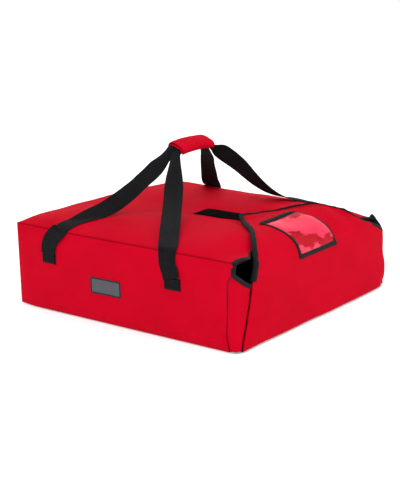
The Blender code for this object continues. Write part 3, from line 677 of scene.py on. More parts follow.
@dataclass(frozen=True)
class BagForm:
    """The bag's outer and inner shape. Its right half has sunk a little more than its left one."""

    half_width: float = 0.257
    height: float = 0.165
    back: float = 0.270
    mouth: float = 0.250
    left_corner: float = 0.274
    right_corner: float = 0.256
    side_seam_front: float = 0.2565
    base_front: float = 0.266
    floor_seam: float = 0.0015
    foot_spread: float = 0.0055
    wall: float = 0.0141
    edge_round: float = 0.018
    edge_swell: float = 0.0030
    side_swell: float = 0.0055
    back_swell: float = 0.0060
    left_pillow: float = 0.016
    right_pillow: float = 0.010
    side_soft: float = 0.030
    back_soft: float = 0.025
    rear_rise: float = 0.006
    right_sag: float = 0.009
    mouth_sag: float = 0.010
    seat_dip: float = 0.003
    seat_reach: float = 0.09
    ripple_height: float = 0.0009
    right_fall: float = 0.007
    corner_dip: float = 0.011
    foot_forward: float = 0.006
    tip_half: float = 0.034
    tip_y: float = -0.122
    left_crease: float = 0.045
    right_crease: float = 0.030
    crease_turn: float = 0.05
    floor_round: float = 0.012
    hem_corner: float = 0.228

    def rounding(self, distance: Array) -> Array:
        """How far a panel stands out near a seam: a parabola that levels off at the edge's radius."""
        return self.edge_swell * (1 - (1 - np.clip(distance / self.edge_round, 0.0, 1.0)) ** 2)

    def side_front(self, z: Array, side: int) -> Array:
        """Where a side panel's front seam stands at height z: forward at the mouth and the floor.

        Args:
            z: height.
            side: -1 for the left panel and 1 for the right.

        Returns:
            Places along y, in the shape of z.
        """
        reach = self.left_corner if side < 0 else self.right_corner
        corner = (reach - self.side_seam_front) * smoothstep(z, 0.120, 0.160)
        foot = self.foot_forward * (1 - smoothstep(z, 0.004, 0.035))
        return -self.side_seam_front - corner - foot

    def top_front(self, x: Array) -> Array:
        """Where the top panel's front edge stands: drawn forward at both corners.

        Args:
            x: across the bag.

        Returns:
            Places along y, in the shape of x.
        """
        reach = np.where(x < 0, self.left_corner, self.right_corner)
        near = np.where(x < 0, smoothstep(-x, 0.172, 0.218), smoothstep(x, 0.185, self.half_width))
        return -self.mouth - (reach - self.mouth) * near

    def foot_out(self, y: Array, z: Array) -> Array:
        """How far a side panel's foot spreads on the floor: level along it, gone at the back corner."""
        return self.foot_spread * smoothstep(self.back - y, 0.0, 0.05) * (1 - smoothstep(z, 0.0, 0.08))

    def top_line(self, y: Array) -> Array:
        """Height of the top panel's middle: the flap's seat, then a cosine down to the back seam.

        Args:
            y: along the bag.

        Returns:
            Heights in the shape of y.
        """
        flap = FlapForm()
        y = np.maximum(y, -self.mouth)
        bend_end = flap.bend_y + flap.seat_radius * math.sin(flap.slope)
        bend_end_z = flap.bend_z + flap.seat_radius * math.cos(flap.slope)
        arc = flap.seat_radius ** 2 - (np.minimum(y, bend_end) - flap.bend_y) ** 2
        on_bend = flap.bend_z + np.sqrt(np.maximum(arc, 0.0))
        on_slope = bend_end_z - (np.clip(y, bend_end, flap.tip_y) - bend_end) * math.tan(flap.slope)
        seat = np.where(y < bend_end, on_bend, on_slope)
        past = np.clip((y - flap.tip_y) / (self.back - flap.tip_y), 0.0, 1.0)
        return self.height + (seat - self.height) * np.cos(math.pi / 2 * past)

    def pillow(self, x: Array, y: Array) -> Array:
        """Height of the pillows beside the closure: a flattened half sine from crease to seam.

        Args:
            x: across the bag.
            y: along the bag.

        Returns:
            Heights in the shape of x: none under the flap and at the back seam.
        """
        crease = np.where(x < 0, self.left_crease + self.crease_turn * smoothstep(y, 0.0, 0.13),
                          self.right_crease)
        share = np.clip((np.abs(x) - crease) / (self.half_width - crease), 0.0, 1.0)
        past_tip = y - self.tip_y
        beside = np.where(past_tip < 0, (np.abs(x) - self.tip_half + past_tip) * 0.707,
                          np.hypot(np.maximum(np.abs(x) - self.tip_half, 0.0), past_tip))
        clear = smoothstep(beside, -0.010, 0.040) * smoothstep(self.back - y, 0.0, 0.12)
        rise = np.where(x < 0, self.left_pillow, self.right_pillow)
        return rise * np.abs(np.sin(math.pi * share ** 0.85)) ** 0.6 * clear

    def top_height(self, x: Array, y: Array) -> Array:
        """Height of the top panel: its middle line, the pillows, soft edges and the sag to the right.

        Args:
            x: across the bag.
            y: along the bag.

        Returns:
            Heights in the shape of x.
        """
        x, y = np.broadcast_arrays(np.asarray(x, float), y)
        share = np.clip(np.abs(x) / self.half_width, 0.0, 1.0)
        inside, behind = self.half_width - np.abs(x), self.back - y
        middle = (self.top_line(y) - self.height) * (1 - share ** 4)
        side_edge = 1 - (1 - np.clip(inside / self.side_soft, 0.0, 1.0)) ** 2
        back_edge = 1 - (1 - np.clip(behind / self.back_soft, 0.0, 1.0)) ** 2
        edge = side_edge * back_edge * (0.003 + 0.005 * (1 - smoothstep(behind, 0.03, 0.20)))
        rear = self.rear_rise * smoothstep(y, 0.10, 0.27) * (1 - 0.4 * share ** 6)
        sag = (self.right_sag + self.mouth_sag
               * smoothstep(-y, -0.02, 0.25)) * smoothstep(x, 0.0, self.half_width)
        seat = self.seat_dip * np.exp(-(x / self.seat_reach) ** 2) * smoothstep(-y, 0.125, 0.19)
        ripple = self.ripple_height * wander(x, y, 0.10, 5) * side_edge * back_edge
        ripple = ripple * smoothstep(y, -0.22, -0.10)
        fallen = self.right_fall * smoothstep(x, 0.05, 0.17) * smoothstep(-y, 0.16, 0.24)
        corner = self.corner_dip * smoothstep(-x, 0.13, 0.20) * smoothstep(-y, 0.20, 0.265)
        corner = corner * (1 - share ** 8)
        risen = self.height + middle + self.pillow(x, y) + edge + rear
        return risen - sag - seat + ripple - fallen - corner

    def seam_rise(self, side: int, y: Array) -> Array:
        """How far a side panel's top seam stands above the bag's own height."""
        return self.top_height(np.full_like(y, side * self.half_width), y) - self.height

    def side_out(self, y: Array, z: Array, side: int = -1) -> Array:
        """How far a side panel stands outside its seams: soft edges and a broad swell.

        Args:
            y: along the bag.
            z: height.
            side: -1 for the left panel and 1 for the right.

        Returns:
            Distances outward in the shape of y.
        """
        front = self.side_front(z, side)
        near = np.minimum(np.minimum(z - self.floor_seam, self.height - z),
                          np.minimum(self.back - y, y - front))
        share = np.clip((z - self.floor_seam) / (self.height - self.floor_seam), 0.0, 1.0)
        tall = np.abs(np.sin(math.pi * share)) ** 0.7
        long = np.sin(math.pi * np.clip((y - front) / (self.back - front), 0.0, 1.0)) ** 0.5
        ripple = self.ripple_height * wander(y, z, 0.12, 11) * smoothstep(near, 0.0, 0.04)
        swell = self.rounding(np.maximum(near, 0.0)) + self.side_swell * tall * long + ripple
        return swell + self.foot_out(y, z)

    def back_out(self, x: Array, z: Array) -> Array:
        """How far the back panel stands outside its seams, as side_out does for a side.

        Args:
            x: across the bag.
            z: height.

        Returns:
            Distances outward in the shape of x.
        """
        near = np.minimum(np.minimum(z - self.floor_seam, self.height - z), self.half_width - np.abs(x))
        tall = np.sin(math.pi * np.clip(z / self.height, 0.0, 1.0))
        wide = np.cos(math.pi / 2 * np.clip(np.abs(x) / self.half_width, 0.0, 1.0)) ** 0.5
        ripple = self.ripple_height * wander(x, z, 0.12, 23) * smoothstep(near, 0.0, 0.04)
        return self.rounding(np.maximum(near, 0.0)) + self.back_swell * tall * wide + ripple


@dataclass(frozen=True)
class FlapForm:
    """The flap as it is cut, and the bend that carries it over the bag."""

    half_width: float = 0.257
    reach: float = 0.278
    bottom: float = 0.001
    split: float = 0.111
    wall: float = 0.0121
    bend_radius: float = 0.065
    slope: float = math.radians(6.0)
    bend_y: float = -0.213
    bend_z: float = 0.1305
    seat_radius: float = 0.050
    tip_y: float = -0.122
    length: float = 0.32308
    pinch: float = 0.0022
    pinch_reach: float = 0.030
    foot_pinch: float = 0.0012
    foot_reach: float = 0.009
    right_lean: float = 0.049
    sink: float = 0.0135
    right_fall: float = 0.0120
    curl: float = 0.0080
    hem_draw: float = 0.011
    front_bulge: float = 0.0055
    bulge_length: float = 0.135
    fold_height: float = 0.0010
    sink_along: float = 0.207
    sink_long: float = 0.043
    sink_x: float = -0.015
    sink_wide: float = 0.115
    hem_out: float = 0.0080
    hem_right: float = 0.0030
    hem_wave: float = 0.0012
    side_curl: float = 0.0045
    tip_seat: float = 0.0027
    tip_thinning: float = 0.42

    def bend(self, x: Array, along: Array, depth: Array | float) -> Array:
        """Carry points of the flat flap to their place: upright, round the bend and down the slope.

        Args:
            x: across the flap.
            along: distance from the bottom edge.
            depth: distance inward from the flap's outer face.

        Returns:
            Points in the shape of x with a last axis of 3.
        """
        x, along, depth = np.broadcast_arrays(np.asarray(x, float), along, depth)
        upright = self.bend_z - self.bottom
        turn = math.pi / 2 + self.slope
        angle = np.clip((along - upright) / self.bend_radius, 0.0, turn)
        before = np.minimum(along - upright, 0.0)
        after = np.maximum(along - upright - self.bend_radius * turn, 0.0)
        radius = self.bend_radius - depth
        y = self.bend_y - radius * np.cos(angle) + after * math.cos(self.slope)
        z = self.bend_z + radius * np.sin(angle) + before - after * math.sin(self.slope)
        return np.stack([x, y, z], axis=-1)

    def half(self, along: Array, side: Array | float = -1.0) -> Array:
        """Half width of the flat flap: a smooth taper up the mouth, then straight to the cut-off tip.

        Args:
            along: distance from the bottom edge.
            side: negative on the left and positive on the right, where the closed flap is pushed out
                between its hem and its bend.

        Returns:
            Half widths in the shape of along and side together.
        """
        share = np.array([0.0, 0.18, 0.40, 0.67, 1.0])
        lower = np.array([0.973, 0.945, 0.880, 0.833, 0.803])
        upper_share = np.array([0.11, 0.24, 0.34, 1.0])
        upper = np.array([0.770, 0.724, 0.680, 0.132])
        knots = np.concatenate([share * self.split,
                                self.split + upper_share * (self.length - self.split)])
        widths = np.concatenate([lower, upper])
        width = np.interp(along, knots, widths)
        for shift in (0.006, 0.003):
            before = np.interp(along - shift, knots, widths)
            after = np.interp(along + shift, knots, widths)
            width = width + np.where((along > shift) & (along < self.length - shift),
                                     before + after - 2 * width, 0) / 4
        lean = self.right_lean * smoothstep(along, -0.004, 0.056)
        lean = lean * (1 - smoothstep(along, 0.116, 0.160))
        lean = lean * (0.89 + 0.22 * smoothstep(along, 0.050, 0.115))
        lean = lean - self.hem_draw * (1 - smoothstep(along, 0.0, 0.022))
        return self.half_width * width + np.where(np.asarray(side) > 0, lean, 0.0)

    def edge_distance(self, x: Array, along: Array) -> Array:
        """Distance from the nearest side or tip border, as if each were straight."""
        side = (self.half(along, x) - np.abs(x)) * np.where(along > self.split, 0.8, 1.0)
        return np.maximum(np.minimum(side, self.length - along), 0.0)

    def swell(self, x: Array, along: Array) -> Array:
        """How far the padding stands forward: a broad bulge with shallow folds, sunk behind the pocket.

        Args:
            x: across the flap.
            along: distance from the bottom edge.

        Returns:
            Distances outward in the shape of x.
        """
        across = np.clip(np.abs(x) / self.half(along, x), 0.0, 1.0)
        share = np.clip(along / self.bulge_length, 0.0, 1.0)
        front = self.front_bulge * np.sin(math.pi * share) ** 0.8 * (1 - across ** 4)
        edge = self.edge_distance(x, along)
        folds = self.fold_height * wander(x, along, 0.13, 41) * smoothstep(edge, 0.0, 0.05)
        sink = self.sink * np.exp(-((along - self.sink_along) / self.sink_long) ** 2)
        sink = sink * np.exp(-((x - self.sink_x) / self.sink_wide) ** 2)
        sink = sink * smoothstep(edge, 0.0, 0.030)
        return front + folds - sink

    def shift(self, x: Array, along: Array) -> Array:
        """How far both faces stand outward: a waving hem, and a free edge that curls up.

        Args:
            x: across the flap.
            along: distance from the bottom edge.

        Returns:
            Distances outward in the shape of x.
        """
        wave = self.hem_out + self.hem_right * np.exp(-((x - 0.12) / 0.06) ** 2)
        wave = wave + self.hem_wave * np.sin(x * 40)
        hem = wave * (1 - smoothstep(along, 0.0, 0.07))
        left_end = 1 - 0.90 * smoothstep(x, -0.030, 0.025)
        curl = self.curl * smoothstep(along, self.length - 0.020, self.length) * left_end
        border = self.half(along, x) - np.abs(x)
        side_curl = self.side_curl * (1 - smoothstep(border, 0.0, 0.018)) * smoothstep(x, 0.050, 0.085)
        side_curl = side_curl * smoothstep(along, 0.17, 0.20)
        fallen = self.right_fall * smoothstep(x, 0.095, 0.152) * smoothstep(along, 0.135, 0.185)
        seated = self.tip_seat * smoothstep(along, 0.20, 0.30)
        fallen = fallen * (1 - smoothstep(along, 0.225, 0.300))
        return hem + np.maximum(curl, side_curl) - fallen - seated

    def thickness(self, distance: Array) -> Array:
        """Half the thickness at a distance from the edge: thin where bound, then a quarter ellipse."""
        share = np.clip(distance / self.pinch_reach, 0.0, 1.0)
        return self.pinch + (self.wall / 2 - self.pinch) * np.sqrt(1 - (1 - share) ** 2)

    def fullness(self, x: Array, along: Array) -> Array:
        """Half the flap's thickness at a point: pinched at its sides and tip, and round at its hem.

        Args:
            x: across the flap.
            along: distance from the bottom edge.

        Returns:
            Distances from the middle to a face, in the shape of x.
        """
        share = np.clip(along / self.foot_reach, 0.0, 1.0)
        foot = self.foot_pinch + (self.wall / 2 - self.foot_pinch) * np.sqrt(1 - (1 - share) ** 2)
        thinner = 1 - self.tip_thinning * smoothstep(along, 0.20, 0.30)
        return np.minimum(np.maximum(self.thickness(self.edge_distance(x, along)) * thinner,
                                     self.pinch), foot)

    def outer(self, x: Array, along: Array, lift: Array | float = 0.0) -> Array:
        """Points of the flap's outer face, lifted off it by lift."""
        depth = self.wall / 2 - self.fullness(x, along) - self.swell(x, along)
        return self.bend(x, along, depth - self.shift(x, along) - lift)

    def inner(self, x: Array, along: Array, lift: Array | float = 0.0) -> Array:
        """Points of the flap's inner face, lifted off it by lift towards the inside of the bag."""
        swell = 0.5 * self.swell(x, along) + self.shift(x, along)
        return self.bend(x, along, self.wall / 2 + self.fullness(x, along) - swell + lift)


# Sub-assemblies


@dataclass
class BagShell:
    """The cover, the lining and the bound front edge of the soft box."""

    palette: Palette
    form: BagForm = BagForm()
    across: int = 65
    along: int = 75
    tall: int = 27
    cloth: float = 0.0008
    seam_width: float = 0.0016
    flare_reach: float = 0.016
    rim_drop: float = 0.003
    tape_back: float = 0.0028
    tape_half: float = 0.0046
    tape_thick: float = 0.0024

    def build(self) -> None:
        """Make and place the shell's pieces."""
        cover = make_piece("bag_cover", self.cover_patches(), self.palette.red, Facing.OUT)
        solidify(cover, self.cloth)
        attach(cover, "bag")
        hidden = [f"{side}_{layer}" for side in ("top", "base", "back", "left", "right")
                  for layer in ("cover", "foam")]
        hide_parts(*hidden)
        log.info("bag cover: %d faces", len(cover.data.polygons))
        lining = make_piece("bag_lining", self.lining_patches(), self.palette.lining, Facing.IN)
        solidify(lining, self.cloth)
        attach(lining, "bag")
        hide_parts("top_liner", "base_liner", "back_liner", "left_liner", "right_liner")
        log.info("bag lining: %d faces", len(lining.data.polygons))
        binding = self.mouth_binding()
        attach(binding, "bag")
        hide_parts("mouth_binding")
        log.info("mouth binding: %d faces", len(binding.data.polygons))

    def seam_mark(self, *distances: Array) -> Array:
        """Darkness of the sewn line's painted shade, for the shade in its groove: 1 on the nearest seam,
        gone at the seam's width.
        """
        near = np.minimum.reduce(np.broadcast_arrays(*distances))
        return SEAM_DARKNESS * (1 - smoothstep(near, 0.0, self.seam_width))

    def cover_patches(self) -> list[Patch]:
        """The five panels, drawn so that neighbours share their seam's points.

        Returns:
            Top, base, back, left and right patches.
        """
        form = self.form
        s = crowded(self.across)[None, :]
        v = (crowded(self.along)[:, None] + 1) / 2
        w = (crowded(self.tall)[None, :] + 1) / 2
        x = form.half_width * s
        front = form.top_front(x)
        y = front + v * (form.back - front)
        x = np.broadcast_to(x, y.shape)
        z = form.top_height(x, y)
        mark = self.seam_mark(form.half_width - np.abs(x), form.back - y)
        top = Patch(np.dstack([x, y, z]), np.dstack([x, y]), mark)

        low_front = form.side_front(np.array(form.floor_seam), -1)
        hem = -(form.base_front
                - abs(low_front)) * (1 - smoothstep(np.abs(x[:1]), form.hem_corner, form.half_width))
        base_front = low_front + hem
        y = base_front + v * (form.back - base_front)
        near = np.minimum(form.half_width - np.abs(x), form.back - y)
        lift = form.floor_seam * (1 - np.clip(near / form.floor_round, 0.0, 1.0)) ** 2
        spread = s * form.foot_out(y, np.array(form.floor_seam))
        base = Patch(np.dstack([x + spread, y, lift]), np.dstack([x, y]), self.seam_mark(near))

        sides = []
        for side in (-1, 1):
            z = form.floor_seam + w * (form.height - form.floor_seam)
            front = form.side_front(z, side)
            y = front + v * (form.back - front)
            z = np.broadcast_to(z, y.shape)
            out = form.side_out(y, z, side)
            mark = self.seam_mark(z - form.floor_seam, form.height - z, form.back - y, y - front)
            rise = form.seam_rise(side, y) * smoothstep(w, 0.35, 1.0)
            points = np.dstack([side * (form.half_width + out), y, z + rise])
            sides.append(Patch(points, np.dstack([y, z]), mark))

        x = form.half_width * s.T
        z = form.floor_seam + w * (form.height - form.floor_seam)
        x, z = np.broadcast_arrays(x, z)
        rise = form.top_height(x[:, -1:], np.full_like(x[:, -1:], form.back)) - form.height
        out = form.back_out(x, z)
        mark = self.seam_mark(form.half_width - np.abs(x), z - form.floor_seam, form.height - z)
        points = np.dstack([x, form.back + out, z + rise * smoothstep(w, 0.35, 1.0)])
        back = Patch(points, np.dstack([x, z]), mark)
        return [top, base, back, *sides]

    def lining_patches(self) -> list[Patch]:
        """The inside of the box, one wall in from the cover and flared to the seams at the mouth.

        Returns:
            Top, base, back, left and right patches.
        """
        form = self.form
        inset = form.wall
        half = form.half_width - inset
        back = form.back - inset
        s = crowded(33)[None, :]
        v = (crowded(37)[:, None] + 1) / 2
        w = (crowded(17)[None, :] + 1) / 2

        def flare(y: Array, front: Array) -> Array:
            """How much of the wall's thickness is left at y: none at the mouth's rim."""
            return smoothstep(y - front, 0.0, self.flare_reach)

        x_top = form.half_width * s
        front = form.top_front(x_top)
        y = front + v * (back - front)
        opened = 1 - flare(y, front)
        x = (half + inset * opened) * s
        crown = form.top_height(x_top, y) - form.height
        seam = np.where(s > 0, form.seam_rise(1, y), form.seam_rise(-1, y))
        fade = np.abs(s) ** 6
        crown = crown * (1 - fade) + seam * fade
        inside = form.height - inset + 0.9 * crown * smoothstep(back - y, 0.0, 0.03)
        rim = form.top_height(x_top, y) - self.rim_drop
        top = Patch(np.dstack([x, y, inside + (rim - inside) * opened]), np.dstack([x, y]))

        low_front = form.side_front(np.array(form.floor_seam), -1)
        hem = 1 - smoothstep(np.abs(x_top), form.hem_corner, form.half_width)
        front = low_front - (form.base_front - abs(low_front)) * hem
        y = front + v * (back - front)
        opened = 1 - flare(y, front)
        x = (half + inset * opened) * s
        base = Patch(np.dstack([x, y, inset - (inset - form.floor_seam - 0.001) * opened]),
                     np.dstack([x, y]))

        tall_z = form.floor_seam + w * (form.height - form.floor_seam)
        inner_z = inset + w * (form.height - 2 * inset)
        rim_z = form.floor_seam + 0.001 + w * (form.height - form.floor_seam - 0.004)
        walls = []
        for side in (-1, 1):
            front = form.side_front(tall_z, side)
            y = front + v * (back - front)
            opened = 1 - flare(y, front)
            z = inner_z + (rim_z - inner_z) * opened
            rise = form.seam_rise(side, y) * smoothstep(w, 0.35, 1.0) * (0.9 + 0.1 * opened)
            walls.append(Patch(np.dstack([side * (half + inset * opened), y, z + rise]),
                               np.dstack([y, z])))
        x, z = np.broadcast_arrays(half * s.T, inner_z)
        rear = Patch(np.dstack([x, np.full_like(x, back), z]), np.dstack([x, z]))
        return [top, base, rear, *walls]

    def mouth_binding(self) -> bpy.types.Object:
        """The tape folded over the top panel's front edge, from corner to corner.

        Returns:
            The binding's object: a flattened ring carried along the edge.
        """
        form = self.form
        x = form.half_width * crowded(81, 0.6)
        y = form.top_front(x)
        z = form.top_height(x, y) - 0.0012
        turn = around(14)
        wave = 0.0006 * wander(x, 0.0, 0.03, 3)
        out = -self.tape_back + self.tape_half * np.cos(turn)[None, :] + wave[:, None]
        up = self.tape_thick * squarer(np.sin(turn), 0.6)
        rings = np.dstack([np.broadcast_to(x[:, None], out.shape), y[:, None] - out,
                           z[:, None] + up[None, :]])
        line = np.column_stack([x, y, z])
        return make_piece("top_edge_binding", sweep(rings, path_length(line)), self.palette.binding)


@dataclass
class MouthGussets:
    """The cloth that closes each corner of the mouth, and the tape on its sloping top edge."""

    palette: Palette
    box: BagForm = BagForm()
    flap: FlapForm = FlapForm()
    top: float = 0.1595
    right_drop: float = 0.018
    low: float = 0.004
    flap_top: float = 0.1125
    corners: tuple[tuple[str, int, Pair, float], ...] = (
        ("left", -1, (0.042, 0.135), 0.0054), ("right", 1, (0.024, 0.118), 0.0024))
    cloth: float = 0.0007
    lining_gap: float = 0.0011
    seam_inset: float = 0.0006
    foot_corner: float = 0.003
    crease_depth: float = 0.0022
    tape_half: float = 0.0044
    tape_thick: float = 0.0022

    def surface(self, side: int, share: Array, turn: Array, lift: float = 0.0) -> Array:
        """Points of a gusset: a quarter of an ellipse in plan, from the side seam to the flap's edge.

        Args:
            side: -1 for the left corner and 1 for the right.
            share: share of the gusset's height.
            turn: 0 at the side seam and 1 at the flap's edge.
            lift: how far the point stands above its place.

        Returns:
            Points in the shape of share and turn together.
        """
        share, turn = np.broadcast_arrays(share, turn)
        seam_top = self.top - (self.right_drop if side > 0 else 0.0)
        top = seam_top + (self.flap_top - seam_top) * turn ** 0.85
        z = self.low + (top - self.low) * share + lift
        start_y = self.box.side_front(z, side)
        end_x = self.flap.half(np.clip(z - self.flap.bottom, 0.0, self.flap.split), side)
        shift = self.flap.shift(side * end_x, z - self.flap.bottom)
        end_y = -self.flap.reach + self.flap.wall / 2 - shift
        angle = turn * math.pi / 2
        corner = self.foot_corner * (1 - smoothstep(z, 0.004, 0.045)) * np.sin(math.pi * turn)
        half = self.box.half_width - self.seam_inset + corner + self.box.foot_out(start_y, z)
        square = 1 - 0.4 * (1 - smoothstep(z, 0.004, 0.045))
        x = half + (end_x - half) * (1 - np.cos(angle) ** square)
        y = start_y + (end_y - start_y) * np.sin(angle) ** square
        crease = self.crease_depth * np.sin(math.pi * turn) * wander(turn * 0.05, z, 0.05, 61 + side)
        return np.stack([side * (x + crease), y, z], axis=-1)

    def build(self) -> None:
        """Make and place both gussets, their lining and their binding."""
        share = ((crowded(31) + 1) / 2)[:, None]
        turn = ((crowded(17) + 1) / 2)[None, :]
        for name, side, flat_size, area in self.corners:
            points = self.surface(side, share, turn)
            flat = np.dstack(np.broadcast_arrays(turn * 0.06, share * 0.15))
            # Painted shade along both of the gusset's seams, for the shade in their grooves.
            mark = SEAM_DARKNESS * (1 - smoothstep(np.minimum(turn, 1 - turn) + 0 * share, 0.0, 0.03))
            gusset = make_piece(f"gusset_{name}_cloth", [Patch(points, flat, mark)],
                                self.palette.red, Facing.OUT)
            solidify(gusset, self.cloth)
            self.join(gusset, side, "red_nylon")
            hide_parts(f"gusset_{name}")
            inward = points - np.array([side, -1.0, 0.0]) * self.lining_gap
            lining = make_piece(f"gusset_{name}_lining", [Patch(inward, flat)], self.palette.lining,
                                Facing.IN)
            self.join(lining, side, "black_liner")
            log.info("%s gusset: %d faces", name, len(gusset.data.polygons))
            binding = self.binding(name, side)
            self.join(binding, side, "binding")
            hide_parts(f"gusset_binding_{name}")

    def join(self, piece: bpy.types.Object, side: int, slot: str) -> None:
        """Bake the piece's placement into its mesh."""
        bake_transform(piece)

    def binding(self, name: str, side: int) -> bpy.types.Object:
        """The tape folded over a gusset's top edge: a flat ring carried along it.

        Args:
            name: left or right.
            side: -1 or 1.

        Returns:
            The binding's object.
        """
        turn = np.linspace(0.0, 1.0, 41)
        line = self.surface(side, np.ones_like(turn), turn)
        below = self.surface(side, np.ones_like(turn), turn, -0.01)
        seam = line[0] + np.array([-side * 0.001, 0.007, 0.0065])
        below = np.vstack([seam + below[0] - line[0], below])
        line = np.vstack([seam, line])
        along = np.gradient(line, axis=0)
        along = unit(along)
        up = line - below
        up -= (up * along).sum(axis=1)[:, None] * along
        up = unit(up)
        out = np.cross(along, up)
        angle = around(14)
        rise = -0.0016 + self.tape_half * np.cos(angle)
        thick = self.tape_thick * squarer(np.sin(angle), 0.7)
        rings = line[:, None] + up[:, None] * rise[None, :, None] + out[:, None] * thick[None, :, None]
        return make_piece(f"gusset_{name}_edge_tape", sweep(rings, path_length(line)),
                          self.palette.binding)


@dataclass
class FrontFlap:
    """The padded flap, its lining, folded binding, hook strip and ticket pocket."""

    palette: Palette
    form: FlapForm = FlapForm()
    ticket_width: float = 0.113
    ticket_length: float = 0.123
    ticket_start: float = 0.128
    side_tape: float = 0.0080
    end_tape: float = 0.0088
    hook_end: float = 0.014
    hook_length: float = 0.055
    hook_half: float = 0.022
    hook_gap: float = 0.0003
    hook_top: float = 0.0014
    cloth: float = 0.0008
    seam_width: float = 0.0016

    def build(self) -> None:
        """Make and place the flap's pieces."""
        form = self.form
        along = (form.length * (crowded(121, 0.35) + 1) / 2)[:, None]
        across = crowded(61)[None, :]
        x = across * form.half(along, across)
        along = np.broadcast_to(along, x.shape)
        flat = np.dstack([x, along])
        edge = np.minimum(form.edge_distance(x, along), along)
        below = along < form.split
        # Painted shade along the lower flap's seams, its sides and foot, for the shade where they meet
        # the gussets.
        mark = np.where(below, SEAM_DARKNESS * (1 - smoothstep(edge, 0.0, self.seam_width)), 0.0)
        cover = make_piece("flap_outer_cloth", [Patch(form.outer(x, along), flat, mark)],
                           self.palette.red, Facing.OUT)
        solidify(cover, self.cloth)
        self.join(cover, "red_nylon")
        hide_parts("flap_lower_cover", "flap_upper_cover", "flap_lower_foam", "flap_upper_foam")
        log.info("flap cover: %d faces", len(cover.data.polygons))
        lining = make_piece("flap_inner_cloth", [Patch(form.inner(x, along), flat)],
                            self.palette.lining, Facing.IN)
        solidify(lining, self.cloth)
        self.join(lining, "black_liner")
        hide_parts("flap_lower_liner", "flap_upper_liner")
        binding = self.binding()
        self.join(binding, "binding")
        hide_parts("flap_binding")
        log.info("flap binding: %d faces", len(binding.data.polygons))
        self.build_hook_strip()
        self.build_pocket()

    def join(self, piece: bpy.types.Object, slot: str) -> None:
        """Bake the piece's placement into its mesh."""
        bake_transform(piece)

    def outline(self) -> tuple[Array, Array]:
        """The flap's free edge above the gussets, up one side, across the tip and down the other.

        Returns:
            The edge's flat points, and the outward way at each of them.
        """
        form = self.form
        along = np.linspace(0.119, form.length, 90)
        waver = 0.0009 * wander(along, 0.0, 0.028, 71)
        left = np.column_stack([-form.half(along, -1.0) - waver, along])
        right = np.column_stack([form.half(along, 1.0) + waver, along])[::-1]
        tip_x = np.linspace(left[-1, 0], right[0, 0], 14)[1:-1]
        tip = np.column_stack([tip_x, np.full_like(tip_x, form.length)])
        line = np.concatenate([left, tip, right])
        step = np.gradient(line, axis=0)
        way = np.column_stack([-step[:, 1], step[:, 0]])
        return line, unit(way)

    def binding(self) -> bpy.types.Object:
        """The tape folded round the free edge: a ring that follows both faces of the edge.

        Returns:
            The binding's object.
        """
        form = self.form
        line, way = self.outline()
        inward = np.array([0.0, 0.0014, 0.0034, 0.0062, 0.0065])
        face = form.thickness(inward) + np.array([0.0009, 0.0011, 0.0011, 0.0010, 0.0])
        out = np.concatenate([[0.0014], -inward, -inward[::-1], [0.0014]])
        deep = np.concatenate([[-0.0018], -face, face[::-1], [0.0018]])
        wave = 1 + 0.10 * wander(path_length(line), 0.0, 0.02, 5)
        flat = line[:, None] + way[:, None] * out[None, :, None]
        plane = form.wall / 2 - form.shift(line[:, 0], line[:, 1])
        depth = plane[:, None] + deep[None, :] * wave[:, None]
        rings = form.bend(flat[..., 0], flat[..., 1], depth)
        return make_piece("flap_edge_binding", sweep(rings, path_length(line)), self.palette.binding)

    def build_hook_strip(self) -> None:
        """The hook strip under the tip, a thin closed sheet."""
        form = self.form
        end = form.length - self.hook_end
        along = np.linspace(end - self.hook_length, end, 12)[:, None]
        x = np.linspace(-self.hook_half, self.hook_half, 9)[None, :]
        x, along = np.broadcast_arrays(x, along)
        outer = form.bend(x, along, form.wall + self.hook_gap)
        inner = form.bend(x, along, form.wall + self.hook_top)
        strip = make_piece("flap_hook_strip", closed_layer(outer, inner, np.dstack([x, along])),
                           self.palette.hook)
        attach(strip, "flap_upper")
        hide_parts("closure_hook_strip")

    def tape(self, name: str, x_range: Pair, along_range: Pair, lift: float,
             thick: float) -> bpy.types.Object:
        """A flat tape sewn on the flap, with rounded edges.

        Args:
            name: the object's name.
            x_range: from and to across the flap.
            along_range: from and to along the flap.
            lift: height of the tape's back over the flap's face.
            thick: the tape's thickness.

        Returns:
            The tape's object.
        """
        form = self.form
        steps = max(6, int(abs(along_range[1] - along_range[0]) / 0.0025))
        columns = max(7, int(abs(x_range[1] - x_range[0]) / 0.004))
        v, u = np.meshgrid(crowded(steps), crowded(columns), indexing="ij")
        along = (along_range[0] + along_range[1]) / 2 + v * (along_range[1] - along_range[0]) / 2
        x = (x_range[0] + x_range[1]) / 2 + u * (x_range[1] - x_range[0]) / 2
        pillow = thick * np.clip((1 - np.abs(u) ** 7) * (1 - np.abs(v) ** 40), 0.08, 1.0)
        x = self.lean(x, along) + 0.0005 * wander(along, x, 0.03, 17)
        outer = form.outer(x, along, lift + pillow)
        inner = form.outer(x, along, lift)
        upright = along_range[1] - along_range[0] > x_range[1] - x_range[0]
        flat = np.dstack([x, along]) if upright else np.dstack([along, x])
        return make_piece(name, closed_layer(outer, inner, flat), self.palette.binding)

    def lean(self, x: Array, along: Array) -> Array:
        """Where a point of the straight pocket lies: it is sewn on askew, and wider at its foot."""
        share = (along - self.ticket_start) / self.ticket_length
        return x * (1.17 - 0.16 * share) + 0.0065 - 0.0190 * share

